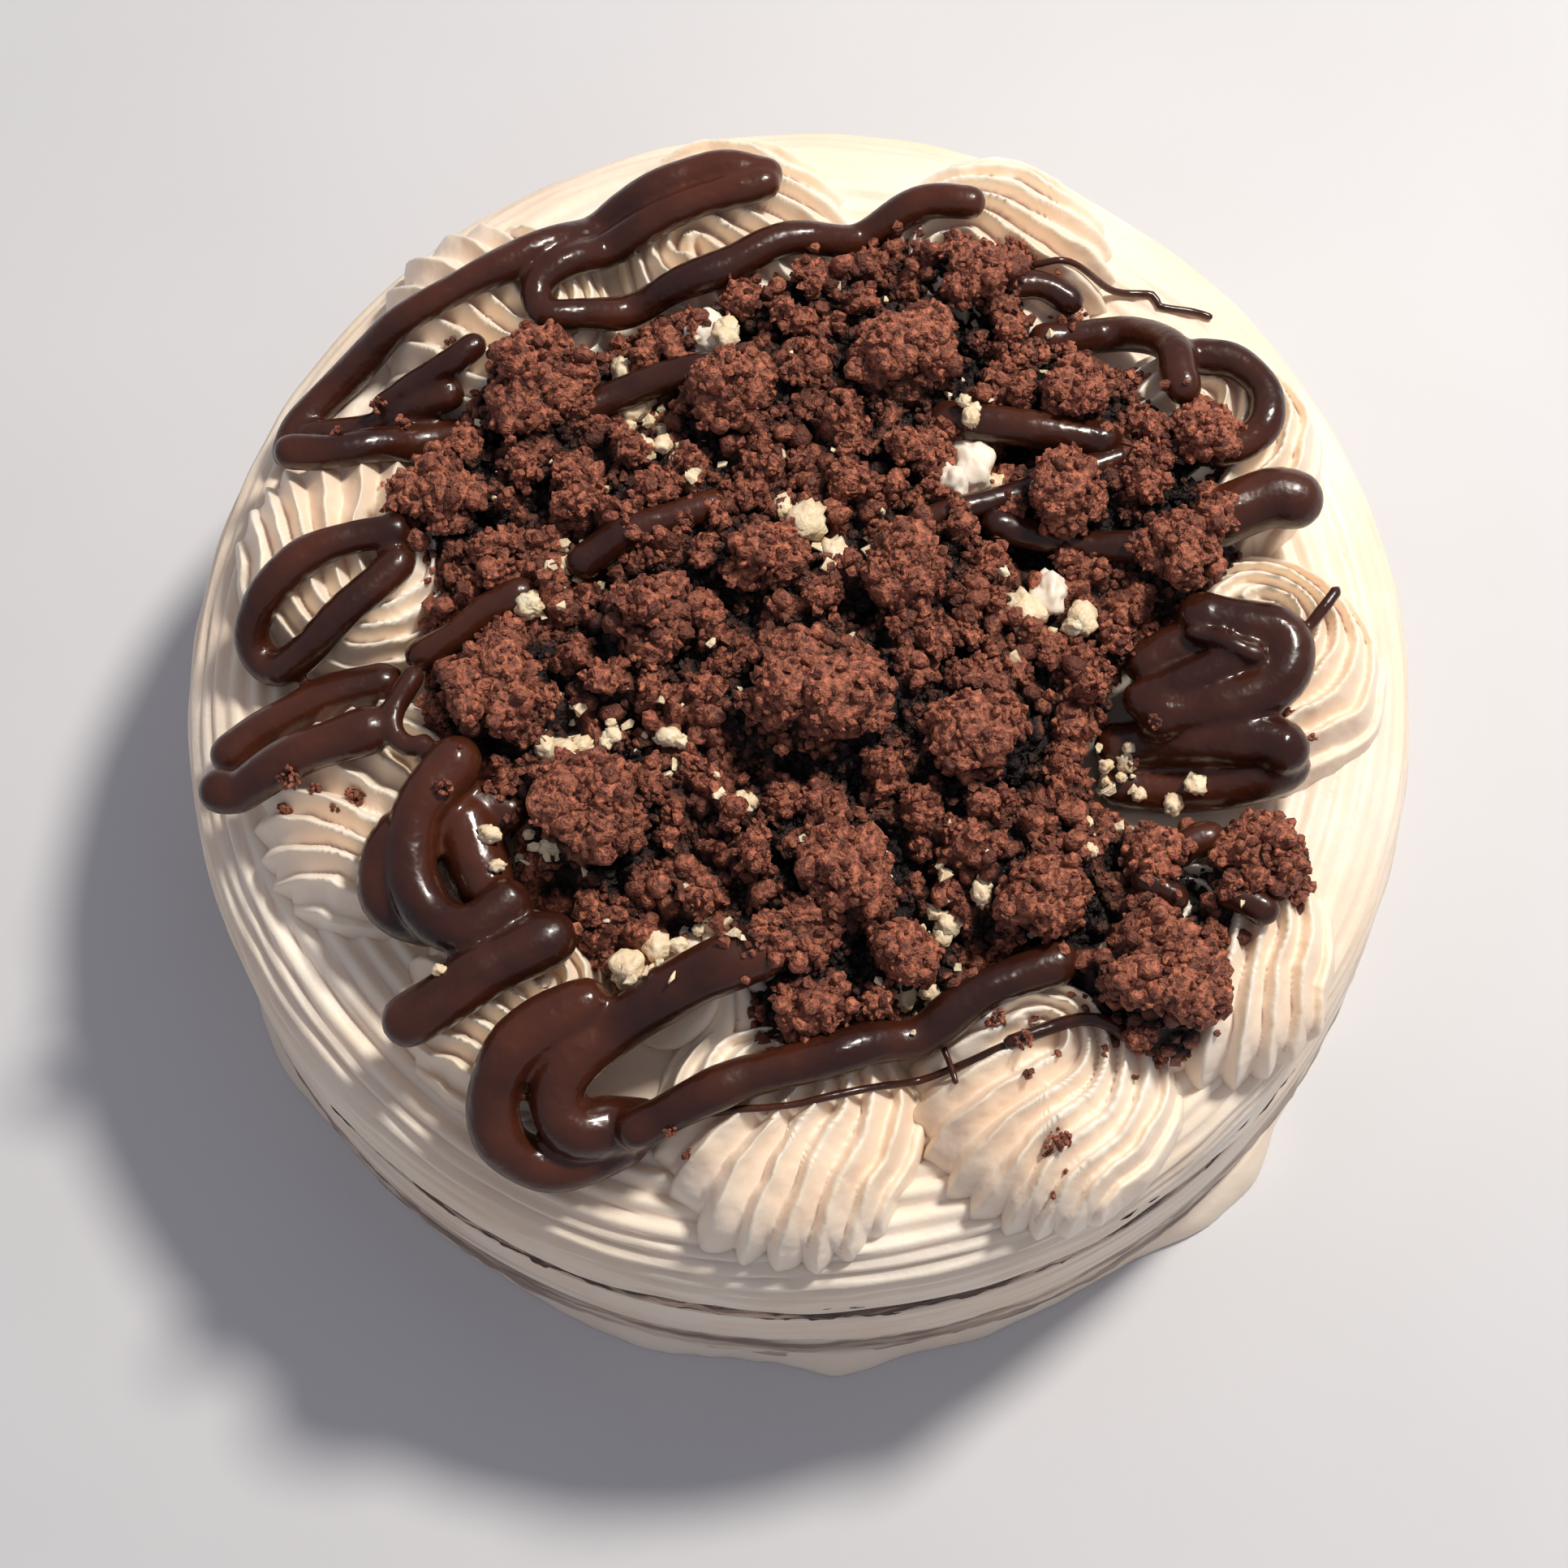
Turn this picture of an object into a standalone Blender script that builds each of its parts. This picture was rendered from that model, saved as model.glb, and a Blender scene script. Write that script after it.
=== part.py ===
"""A round layer cake: scraped cream sides with two sponge layers showing, a ring of piped
rosettes, ropes of chocolate ganache and a heap of cake crumble with chopped nuts on top.

Metres, +Z up. The origin is the centre of the flat underside, and -Y is the front.
"""
import math
import random

import bmesh
import bpy
from mathutils import Matrix, Vector, noise

# Driving sizes of the cake: eight inches across and 61 mm tall at its rim
BASE_RADIUS = 0.1015
SHOULDER_RADIUS = 0.0985
FOOT_TOP = 0.007
LOWER_SPONGE_TOP = 0.018
FILLING_TOP = 0.036
UPPER_SPONGE_TOP = 0.043
PLATEAU = 0.062
GAP = 0.0003
TURN_STEPS = 60
# Faces that meet at less than this angle are one flat face
FLAT_ANGLE = math.radians(3.0)

# How far the cream stands out beyond the sponge on the scraped side
SCRAPE_BULGE = 0.0006

# Grooves that a spatula left on the sloping shoulder
SHOULDER_START = 0.0835
SHOULDER_SLOPE = 0.28
COMB_PITCH = 0.0036
COMB_DEPTH = 0.0011
COMB_GROOVES = 3

# Cream squeezed out at the foot: angle and width in degrees, reach in metres
FOOT_BLOBS = [(252, 9, 0.0018), (270, 5, 0.0030), (284, 7, 0.0014), (308, 6, 0.0036),
              (314, 4, 0.0026), (40, 10, 0.0020), (95, 8, 0.0026), (150, 9, 0.0016), (205, 7, 0.0020)]

# Piped rosettes: centre x and y, radius, and the way that they turn
ROSETTES = [(-0.006, -0.073, 0.0215, 1), (0.033, -0.070, 0.0215, 1), (0.060, -0.050, 0.0205, 1),
            (0.072, -0.006, 0.0205, -1), (0.067, 0.031, 0.0200, 1), (0.036, 0.066, 0.0205, 1),
            (-0.006, 0.073, 0.0205, 1), (-0.045, 0.060, 0.0205, 1), (-0.069, 0.022, 0.0205, -1),
            (-0.066, -0.020, 0.0205, 1), (-0.047, -0.052, 0.0180, 1), (-0.014, -0.050, 0.0160, 1)]
ROSETTE_HEIGHT = 0.0135
ROSETTE_SINK = 0.0030
ROSETTE_RIDGES = 10
RIDGE_DEPTH = 0.13
ROSETTE_TWIST = math.radians(80)
# Rings of a rosette from its foot upwards: share of its radius and of its height
ROSETTE_RINGS = [(1.0, 0.34), (0.80, 0.78), (0.45, 1.0)]
ROSETTE_PEAK = 0.0014
# Each rosette starts its turn elsewhere, by this angle from one to the next
ROSETTE_START = math.radians(40)

# Ganache ropes: radius, lift over what they lie on, and the route's x and y
ROPES = {
    "back_outer": (0.0028, 0.0, [
        (0.0000, 0.0795), (-0.0085, 0.0810), (-0.0220, 0.0770), (-0.0295, 0.0730), (-0.0420, 0.0665),
        (-0.0540, 0.0610), (-0.0640, 0.0565), (-0.0715, 0.0520), (-0.0775, 0.0465),
        (-0.0795, 0.0420)]),
    "back_return": (0.0029, 0.0006, [
        (-0.0775, 0.0380), (-0.0700, 0.0375), (-0.0605, 0.0395), (-0.0510, 0.0410),
        (-0.0435, 0.0385), (-0.0385, 0.0390)]),
    "back_fold": (0.0026, 0.0, [
        (-0.0755, 0.0435), (-0.0655, 0.0445), (-0.0605, 0.0450), (-0.0565, 0.0460),
        (-0.0525, 0.0465)]),
    "back_middle": (0.0022, 0.0, [
        (-0.0630, 0.0470), (-0.0590, 0.0485), (-0.0550, 0.0495), (-0.0510, 0.0510),
        (-0.0480, 0.0530)]),
    "back_inner": (0.0028, 0.0, [
        (-0.0005, 0.0775), (-0.0135, 0.0745), (-0.0250, 0.0700), (-0.0305, 0.0675),
        (-0.0350, 0.0650), (-0.0375, 0.0625), (-0.0375, 0.0595), (-0.0365, 0.0575),
        (-0.0310, 0.0575), (-0.0185, 0.0605), (-0.0080, 0.0635), (0.0020, 0.0680), (0.0120, 0.0690),
        (0.0240, 0.0730), (0.0320, 0.0720)]),
    "right_hook_inner": (0.0029, 0.0006, [
        (0.0430, 0.0500), (0.0475, 0.0505), (0.0515, 0.0515), (0.0555, 0.0515), (0.0590, 0.0495),
        (0.0615, 0.0465), (0.0625, 0.0435), (0.0625, 0.0400), (0.0630, 0.0375)]),
    "right_hook_outer": (0.0029, 0.0, [
        (0.0665, 0.0440), (0.0710, 0.0430), (0.0740, 0.0405), (0.0760, 0.0370), (0.0760, 0.0335),
        (0.0750, 0.0305), (0.0715, 0.0280), (0.0680, 0.0275)]),
    "right_end": (0.0048, 0.0, [
        (0.0665, 0.0160), (0.0700, 0.0175), (0.0750, 0.0190), (0.0785, 0.0185)]),
    "left_hook": (0.0029, 0.0, [
        (-0.0615, 0.0225), (-0.0680, 0.0215), (-0.0745, 0.0195), (-0.0795, 0.0160),
        (-0.0835, 0.0120), (-0.0850, 0.0085), (-0.0830, 0.0050), (-0.0795, 0.0040),
        (-0.0745, 0.0060), (-0.0695, 0.0100), (-0.0645, 0.0140), (-0.0610, 0.0175)]),
    "left_fold_under": (0.0034, 0.0, [
        (-0.0645, 0.0000), (-0.0715, -0.0010), (-0.0780, -0.0035), (-0.0845, -0.0060),
        (-0.0890, -0.0090)]),
    "left_fold_over": (0.0037, 0.0006, [
        (-0.0655, -0.0100), (-0.0710, -0.0115), (-0.0770, -0.0130), (-0.0830, -0.0155),
        (-0.0870, -0.0170), (-0.0895, -0.0165)]),
    "left_tail": (0.0018, 0.0030, [
        (-0.0590, -0.0015), (-0.0605, -0.0045), (-0.0620, -0.0080), (-0.0620, -0.0110),
        (-0.0600, -0.0135), (-0.0575, -0.0135)]),
    "loop_over": (0.0040, 0.0024, [
        (-0.0525, -0.0165), (-0.0580, -0.0230), (-0.0595, -0.0275), (-0.0600, -0.0325),
        (-0.0590, -0.0365), (-0.0565, -0.0405), (-0.0525, -0.0425), (-0.0490, -0.0415),
        (-0.0460, -0.0390)]),
    "loop_under": (0.0040, 0.0, [
        (-0.0610, -0.0265), (-0.0635, -0.0295), (-0.0645, -0.0325), (-0.0645, -0.0360),
        (-0.0620, -0.0385), (-0.0590, -0.0395)]),
    "loop_pool": (0.0050, -0.0010, [
        (-0.0525, -0.0245), (-0.0510, -0.0290), (-0.0495, -0.0340)]),
    "loop_top": (0.0030, 0.0, [
        (-0.0515, -0.0210), (-0.0480, -0.0220), (-0.0450, -0.0235)]),
    "front_left_end": (0.0042, 0.0, [
        (-0.0395, -0.0445), (-0.0440, -0.0465), (-0.0500, -0.0490), (-0.0545, -0.0520),
        (-0.0590, -0.0545), (-0.0610, -0.0555)]),
    "front_inner": (0.0044, 0.0024, [
        (-0.0080, -0.0495), (-0.0185, -0.0530), (-0.0270, -0.0565), (-0.0320, -0.0590),
        (-0.0365, -0.0620), (-0.0395, -0.0660), (-0.0395, -0.0700), (-0.0370, -0.0725),
        (-0.0325, -0.0720), (-0.0285, -0.0720)]),
    "front_outer": (0.0042, 0.0, [
        (-0.0350, -0.0550), (-0.0410, -0.0575), (-0.0455, -0.0605), (-0.0485, -0.0650),
        (-0.0495, -0.0695), (-0.0485, -0.0735), (-0.0450, -0.0760), (-0.0405, -0.0770),
        (-0.0355, -0.0760), (-0.0305, -0.0735)]),
    "front_long": (0.0033, 0.0008, [
        (-0.0280, -0.0735), (-0.0140, -0.0680), (-0.0075, -0.0665), (0.0005, -0.0650),
        (0.0080, -0.0630), (0.0150, -0.0620), (0.0240, -0.0565), (0.0360, -0.0525)]),
    "lobe_round": (0.0042, 0.0, [
        (0.0550, -0.0150), (0.0605, -0.0145), (0.0660, -0.0140), (0.0710, -0.0125),
        (0.0740, -0.0100), (0.0750, -0.0060), (0.0735, -0.0035), (0.0695, -0.0025),
        (0.0660, -0.0015), (0.0625, -0.0005)]),
    "lobe_over": (0.0030, 0.0026, [
        (0.0520, -0.0125), (0.0570, -0.0110), (0.0620, -0.0095), (0.0660, -0.0075),
        (0.0690, -0.0070)]),
    "lobe_side": (0.0034, 0.0004, [
        (0.0535, -0.0065), (0.0575, -0.0045), (0.0615, -0.0035)]),
    "lobe_middle": (0.0041, 0.0002, [
        (0.0490, -0.0175), (0.0550, -0.0175), (0.0605, -0.0185), (0.0660, -0.0195),
        (0.0705, -0.0200), (0.0730, -0.0215)]),
    "lobe_lower": (0.0040, 0.0, [
        (0.0490, -0.0230), (0.0545, -0.0240), (0.0605, -0.0245), (0.0660, -0.0245),
        (0.0705, -0.0240), (0.0735, -0.0230)]),
    "stick": (0.0010, 0.0016, [
        (0.0780, -0.0030), (0.0810, 0.0000), (0.0835, 0.0030)]),
    "flap": (0.0014, 0.0062, [
        (0.0605, -0.0035), (0.0640, -0.0050), (0.0670, -0.0070), (0.0695, -0.0080)]),
    "lip": (0.0010, 0.0050, [
        (0.0625, 0.0010), (0.0655, 0.0000), (0.0685, -0.0015), (0.0715, -0.0035), (0.0740, -0.0060)]),
    "bit_1": (0.0026, 0.0004, [
        (0.0555, -0.0365), (0.0580, -0.0350), (0.0605, -0.0345)]),
    "bit_2": (0.0028, 0.0, [
        (0.0630, -0.0440), (0.0650, -0.0450), (0.0670, -0.0465)]),
    "bit_3": (0.0024, 0.0004, [
        (0.0500, -0.0410), (0.0520, -0.0425), (0.0540, -0.0440)]),
}
# A thick rope has six sides and a thin one four
THICK_ROPE = 0.0027
# Share of its radius by which a rope sinks in, and the taper and reach of its round end
ROPE_BITE = 0.48
ROPE_END_TAPER = 0.55
ROPE_END_REACH = 0.72

# Outline of the crumble heap, anticlockwise from its right-hand notch
HEAP_OUTLINE = [
    (0.056, 0.001), (0.066, 0.005), (0.070, 0.012), (0.067, 0.020), (0.072, 0.030), (0.070, 0.035),
    (0.061, 0.036), (0.058, 0.043), (0.050, 0.046), (0.047, 0.050), (0.050, 0.055), (0.047, 0.061),
    (0.040, 0.066), (0.031, 0.0675), (0.022, 0.0700), (0.013, 0.068), (0.004, 0.065), (-0.006, 0.0615),
    (-0.018, 0.0565), (-0.030, 0.053), (-0.040, 0.055), (-0.047, 0.050), (-0.051, 0.043),
    (-0.054, 0.036), (-0.062, 0.034), (-0.065, 0.028), (-0.059, 0.023), (-0.056, 0.013),
    (-0.058, 0.005), (-0.057, -0.008), (-0.052, -0.015), (-0.046, -0.023), (-0.044, -0.036),
    (-0.036, -0.045), (-0.031, -0.051), (-0.020, -0.048), (-0.010, -0.050), (-0.011, -0.057),
    (-0.007, -0.0625), (0.000, -0.0625), (0.008, -0.060), (0.019, -0.0565), (0.028, -0.052),
    (0.035, -0.050), (0.039, -0.058), (0.044, -0.065), (0.052, -0.068), (0.060, -0.063),
    (0.062, -0.053), (0.067, -0.047), (0.074, -0.045), (0.0765, -0.038), (0.072, -0.032),
    (0.060, -0.0305), (0.050, -0.031), (0.043, -0.027), (0.044, -0.017), (0.048, -0.010)]
HEAP_CENTRE = Vector((0.004, 0.004))
HEAP_FLOOR = PLATEAU + 0.0005
HEAP_EDGE = 0.0750
HEAP_RISE = 0.0065
HEAP_REACH = 0.062
LUMP_HEIGHT = 0.0026
LUMP_LENGTH = 0.013
HEAP_CELL = 0.0094
HEAP_BLOCK = 0.083
CUTTER_TOP = 0.120
CUT_CLEARANCE = 0.0004

# Clumps of crumble that show: centre x and y, and radius
CLUMPS = [(-0.038, 0.045, 0.0090), (-0.054, 0.028, 0.0070), (-0.047, -0.006, 0.0082),
          (-0.033, -0.025, 0.0090), (0.003, -0.011, 0.0110), (0.006, -0.039, 0.0080),
          (-0.002, -0.047, 0.0062), (0.034, -0.043, 0.0068), (0.013, -0.050, 0.0056),
          (0.051, -0.056, 0.0100), (0.0675, -0.039, 0.0070), (0.052, -0.037, 0.0052),
          (-0.001, -0.0565, 0.0060), (0.060, 0.010, 0.0066), (0.0655, 0.030, 0.0056),
          (0.017, 0.009, 0.0066), (-0.004, 0.012, 0.0066), (0.020, 0.045, 0.0085),
          (-0.008, 0.040, 0.0070), (0.042, 0.020, 0.0070), (0.026, -0.018, 0.0075),
          (-0.022, 0.004, 0.0070), (0.033, 0.058, 0.0065), (0.046, 0.038, 0.0062)]
CLUMP_ROUGH = 0.28
KNOB_SIZE = 1.3
LUMP_SHIFT = 0.0025
CLUMP_BURY = 0.42
CRUMB_BURY = 0.32
CRUMB_COUNT = 14
CRUMB_SIZES = (0.0016, 0.0032)

# Chopped nuts that show: centre x and y, and length
NUTS = [(-0.025, 0.048, 0.0050), (-0.023, 0.042, 0.0065), (-0.019, 0.032, 0.0050), (-0.008, 0.053, 0.0055),
        (-0.034, 0.016, 0.0040), (-0.028, 0.016, 0.0036), (-0.039, 0.009, 0.0050),
        (-0.035, -0.013, 0.0070), (-0.019, -0.015, 0.0042), (-0.030, -0.013, 0.0036), (0.002, 0.019, 0.0060),
        (0.007, 0.014, 0.0062), (0.029, 0.035, 0.0036), (0.030, 0.023, 0.0050), (0.039, 0.002, 0.0080),
        (0.048, -0.023, 0.0036), (-0.008, -0.026, 0.0034), (-0.024, -0.047, 0.0078),
        (-0.017, -0.045, 0.0050), (0.014, -0.056, 0.0056), (0.018, -0.045, 0.0044), (0.024, -0.040, 0.0040),
        (-0.040, -0.030, 0.0040)]
SEED = 11

# Colour, roughness and metallic value of each food
FOODS = {
    "cream": ((0.80, 0.66, 0.50, 1.0), 0.55),
    "sponge": ((0.10, 0.050, 0.035, 1.0), 0.85),
    "coated_sponge": ((0.42, 0.30, 0.24, 1.0), 0.75),
    "crumble": ((0.085, 0.028, 0.018, 1.0), 0.90),
}


def clear_scene():
    for obj in list(bpy.data.objects):
        bpy.data.objects.remove(obj, do_unlink=True)


def new_collection(name):
    collection = bpy.data.collections.new(name)
    bpy.context.scene.collection.children.link(collection)
    return collection


def food_material(name):
    colour, roughness = FOODS[name]
    material = bpy.data.materials.new(name)
    material.use_nodes = True
    shader = material.node_tree.nodes["Principled BSDF"]
    shader.inputs["Base Color"].default_value = colour
    shader.inputs["Roughness"].default_value = roughness
    shader.inputs["Metallic"].default_value = 0.0
    return material


def mesh_object(name, mesh, collection):
    obj = bpy.data.objects.new(name, mesh)
    collection.objects.link(obj)
    return obj


def from_bmesh(name, bm, collection):
    mesh = bpy.data.meshes.new(name)
    bmesh.ops.triangulate(bm, faces=bm.faces)
    bmesh.ops.recalc_face_normals(bm, faces=bm.faces)
    bm.to_mesh(mesh)
    bm.free()
    return mesh_object(name, mesh, collection)


def settle(obj):
    """Replace an object's mesh by what its modifiers make of it."""
    evaluated = obj.evaluated_get(bpy.context.evaluated_depsgraph_get())
    mesh = bpy.data.meshes.new_from_object(evaluated)
    obj.modifiers.clear()
    obj.data = mesh


def curve_to_mesh(name, curve_obj, collection):
    """Swap a curve for a closed mesh with its caps welded."""
    evaluated = curve_obj.evaluated_get(bpy.context.evaluated_depsgraph_get())
    mesh = bpy.data.meshes.new_from_object(evaluated)
    bpy.data.objects.remove(curve_obj, do_unlink=True)
    bm = bmesh.new()
    bm.from_mesh(mesh)
    bmesh.ops.remove_doubles(bm, verts=bm.verts, dist=0.00002)
    return from_bmesh(name, bm, collection)


def boolean(obj, operation, operand, solver="EXACT"):
    """Cut or join with one object or with a whole collection, and apply it."""
    modifier = obj.modifiers.new(operation.lower(), "BOOLEAN")
    modifier.operation = operation
    modifier.solver = solver
    if isinstance(operand, bpy.types.Collection):
        modifier.operand_type = "COLLECTION"
        modifier.collection = operand
    else:
        modifier.object = operand
    settle(obj)


def empty_out(collection):
    for obj in list(collection.objects):
        bpy.data.objects.remove(obj, do_unlink=True)


def keep_largest_body(obj):
    """Drop loose scraps that a Boolean leaves."""
    bm = bmesh.new()
    bm.from_mesh(obj.data)
    bodies = []
    seen = set()
    for start in bm.verts:
        if start in seen:
            continue
        body = []
        stack = [start]
        seen.add(start)
        while stack:
            vert = stack.pop()
            body.append(vert)
            for edge in vert.link_edges:
                other = edge.other_vert(vert)
                if other not in seen:
                    seen.add(other)
                    stack.append(other)
        bodies.append(body)
    bodies.sort(key=len)
    for scrap in bodies[:-1]:
        bmesh.ops.delete(bm, geom=scrap, context="VERTS")
    bmesh.ops.dissolve_limit(bm, angle_limit=FLAT_ANGLE, verts=bm.verts, edges=bm.edges)
    bmesh.ops.triangulate(bm, faces=bm.faces)
    bm.to_mesh(obj.data)
    bm.free()


def side_radius(height):
    """The scraped side leans in a little towards the top."""
    share = min(height / UPPER_SPONGE_TOP, 1.0)
    return BASE_RADIUS + (SHOULDER_RADIUS - BASE_RADIUS) * share


def turned(name, profile, collection):
    """Screw a profile, given from the axis over the top and down to the axis again."""
    mesh = bpy.data.meshes.new(name)
    bm = bmesh.new()
    verts = [bm.verts.new((radius, 0.0, height)) for radius, height in profile]
    for first, second in zip(verts, verts[1:]):
        bm.edges.new((first, second))
    bm.to_mesh(mesh)
    bm.free()
    obj = mesh_object(name, mesh, collection)
    screw = obj.modifiers.new("turn", "SCREW")
    screw.axis = "Z"
    screw.angle = math.tau
    screw.steps = TURN_STEPS
    screw.render_steps = TURN_STEPS
    screw.use_merge_vertices = True
    screw.merge_threshold = 0.00001
    settle(obj)
    return obj


def layer(name, bottom, top, bulge, collection):
    """One flat layer whose edge stands out in the middle by the bulge."""
    middle = (bottom + top) / 2
    profile = [(0.0, top), (side_radius(top), top), (side_radius(middle) + bulge, middle),
               (side_radius(bottom), bottom), (0.0, bottom)]
    return turned(name, profile, collection)


def blob_reach(angle):
    reach = 0.0
    for centre, width, size in FOOT_BLOBS:
        away = (math.degrees(angle) - centre + 180) % 360 - 180
        reach += size * math.exp(-(away / width) ** 2)
    return reach


def foot(collection):
    """The bottom smear of cream, squeezed out in blobs round the edge."""
    obj = layer("cream_foot", 0.0, FOOT_TOP, SCRAPE_BULGE, collection)
    for vert in obj.data.vertices:
        radius = math.hypot(vert.co.x, vert.co.y)
        if radius < BASE_RADIUS / 2:
            continue
        share = 1.0 - 0.75 * vert.co.z / FOOT_TOP
        reach = blob_reach(math.atan2(vert.co.y, vert.co.x) % math.tau) * share
        vert.co.x *= 1 + reach / radius
        vert.co.y *= 1 + reach / radius
    return obj


def cream_slab(collection):
    """The top layer of cream, its sloping shoulder combed by a spatula."""
    bottom = UPPER_SPONGE_TOP + GAP
    profile = [(0.0, PLATEAU), (SHOULDER_START, PLATEAU)]
    for groove in range(COMB_GROOVES):
        radius = SHOULDER_START + groove * COMB_PITCH
        drop = 0.0007 * groove ** 2
        profile.append((radius + COMB_PITCH / 2, PLATEAU - COMB_DEPTH - drop))
        profile.append((radius + COMB_PITCH, PLATEAU + COMB_DEPTH * 0.2 - drop - 0.0006))
    profile += [(0.0963, 0.0565), (0.0978, 0.0510), (SHOULDER_RADIUS, bottom + 0.003),
                (SHOULDER_RADIUS - 0.0006, bottom), (0.0, bottom)]
    obj = turned("cream_top", profile, collection)
    for vert in obj.data.vertices:
        radius = math.hypot(vert.co.x, vert.co.y)
        if radius < 0.080 or vert.co.z < 0.050:
            continue
        angle = math.atan2(vert.co.y, vert.co.x)
        sway = 0.0007 * math.sin(3 * angle + 1.0) + 0.0004 * math.sin(7 * angle)
        vert.co.x += sway * math.cos(angle)
        vert.co.y += sway * math.sin(angle)
    return obj


def dome_height(x, y):
    """Height of the cream under a point, over plateau, shoulder and rosettes."""
    radius = math.hypot(x, y)
    height = PLATEAU - max(0.0, radius - SHOULDER_START) * SHOULDER_SLOPE
    for cx, cy, size, _ in ROSETTES:
        away = math.hypot(x - cx, y - cy) / size
        if away < 1.0:
            height = max(height, PLATEAU - ROSETTE_SINK / 4 + ROSETTE_HEIGHT * (1 - away ** 3) ** 0.6)
    return height


def rosette(index, collection):
    """A star-shaped outline, drawn up in rings that narrow and turn."""
    cx, cy, size, turn = ROSETTES[index]
    bm = bmesh.new()
    points = 2 * ROSETTE_RIDGES
    bmesh.ops.create_circle(bm, cap_ends=True, segments=points, radius=size)
    for number, vert in enumerate(bm.verts):
        if number % 2:
            vert.co *= 1 - RIDGE_DEPTH
    cap = bm.faces[:][0]
    scale_now = 1.0
    height_now = 0.0
    for scale, share in ROSETTE_RINGS:
        height = ROSETTE_SINK + ROSETTE_HEIGHT * share
        grown = bmesh.ops.extrude_face_region(bm, geom=[cap])["geom"]
        ring = [item for item in grown if isinstance(item, bmesh.types.BMVert)]
        old_cap = cap
        cap = [item for item in grown if isinstance(item, bmesh.types.BMFace)][0]
        if height_now > 0.0:
            bmesh.ops.delete(bm, geom=[old_cap], context="FACES_ONLY")
        factor = scale / scale_now
        bmesh.ops.scale(bm, vec=(factor, factor, 1.0), verts=ring)
        twist = turn * ROSETTE_TWIST * (scale_now - scale)
        bmesh.ops.rotate(bm, cent=(0, 0, 0), matrix=Matrix.Rotation(twist, 3, "Z"), verts=ring)
        bmesh.ops.translate(bm, vec=(0, 0, height - height_now), verts=ring)
        scale_now = scale
        height_now = height
    top = bmesh.ops.poke(bm, faces=[cap])["verts"]
    bmesh.ops.translate(bm, vec=(0, 0, ROSETTE_PEAK), verts=top)
    bmesh.ops.rotate(bm, cent=(0, 0, 0), matrix=Matrix.Rotation(index * ROSETTE_START, 3, "Z"), verts=bm.verts)
    bmesh.ops.translate(bm, vec=(cx, cy, PLATEAU - ROSETTE_SINK), verts=bm.verts)
    return from_bmesh(f"rosette_{index + 1}", bm, collection)


def rope_heights(route, radius, lift):
    """Rest a rope on the cream: it bridges hollows and sinks in by a little."""
    ground = [dome_height(x, y) for x, y in route]
    heights = []
    for index, own in enumerate(ground):
        near = ground[max(0, index - 1):index + 2]
        level = max(own, sum(near) / len(near))
        heights.append(level + radius * (1 - ROPE_BITE) + lift)
    return heights


def rope(name, collection):
    """One rope of ganache as a bevelled curve with rounded ends."""
    radius, lift, route = ROPES[name]
    curve = bpy.data.curves.new(name, "CURVE")
    curve.dimensions = "3D"
    curve.bevel_depth = radius
    curve.bevel_resolution = 1 if radius > THICK_ROPE else 0
    curve.resolution_u = 1
    curve.use_fill_caps = True
    first, second = Vector(route[0]), Vector(route[1])
    last, before = Vector(route[-1]), Vector(route[-2])
    front = first + (first - second).normalized() * radius * ROPE_END_REACH
    back = last + (last - before).normalized() * radius * ROPE_END_REACH
    points = [tuple(front)] + route + [tuple(back)]
    heights = rope_heights(points, radius, lift)
    spline = curve.splines.new("POLY")
    spline.points.add(len(points) - 1)
    for index, (x, y) in enumerate(points):
        spline.points[index].co = (x, y, heights[index], 1.0)
        spline.points[index].radius = 1.0 if 0 < index < len(points) - 1 else ROPE_END_TAPER
    curve_obj = mesh_object(name, curve, collection)
    return curve_to_mesh(name, curve_obj, collection)


def heap_height(x, y):
    """Top of the crumble: highest in the middle, uneven all over."""
    away = (Vector((x, y)) - HEAP_CENTRE).length / HEAP_REACH
    rise = HEAP_RISE * max(0.0, 1 - away ** 2)
    lump = noise.noise(Vector((x / LUMP_LENGTH, y / LUMP_LENGTH, 3.7)))
    return HEAP_EDGE + rise + LUMP_HEIGHT * lump


def heap_prism(name, clearance, top, collection):
    """The heap's outline, pulled up from the cream as a block."""
    curve = bpy.data.curves.new(name, "CURVE")
    curve.dimensions = "2D"
    curve.fill_mode = "BOTH"
    curve.extrude = (top - HEAP_FLOOR + clearance) / 2
    curve.offset = clearance
    spline = curve.splines.new("POLY")
    spline.points.add(len(HEAP_OUTLINE) - 1)
    for point, (x, y) in zip(spline.points, HEAP_OUTLINE):
        point.co = (x, y, 0.0, 1.0)
    spline.use_cyclic_u = True
    curve_obj = mesh_object(name, curve, collection)
    prism = curve_to_mesh(name, curve_obj, collection)
    middle = (top + HEAP_FLOOR - clearance) / 2
    prism.data.transform(Matrix.Translation((0, 0, middle)))
    return prism


def heap_slab(collection):
    """A block wider than the heap whose upper face has the heap's lumps."""
    bm = bmesh.new()
    cells = round(2 * HEAP_BLOCK / HEAP_CELL)
    bmesh.ops.create_grid(bm, x_segments=cells, y_segments=cells, size=HEAP_BLOCK)
    grown = bmesh.ops.extrude_face_region(bm, geom=bm.faces[:])["geom"]
    top = [item for item in grown if isinstance(item, bmesh.types.BMVert)]
    bottom = [vert for vert in bm.verts if vert not in set(top)]
    for vert in top:
        vert.co.z = heap_height(vert.co.x, vert.co.y)
    for vert in bottom:
        vert.co.z = PLATEAU - 0.005
    bmesh.ops.triangulate(bm, faces=bm.faces)
    return from_bmesh("crumble_heap", bm, collection)


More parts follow.
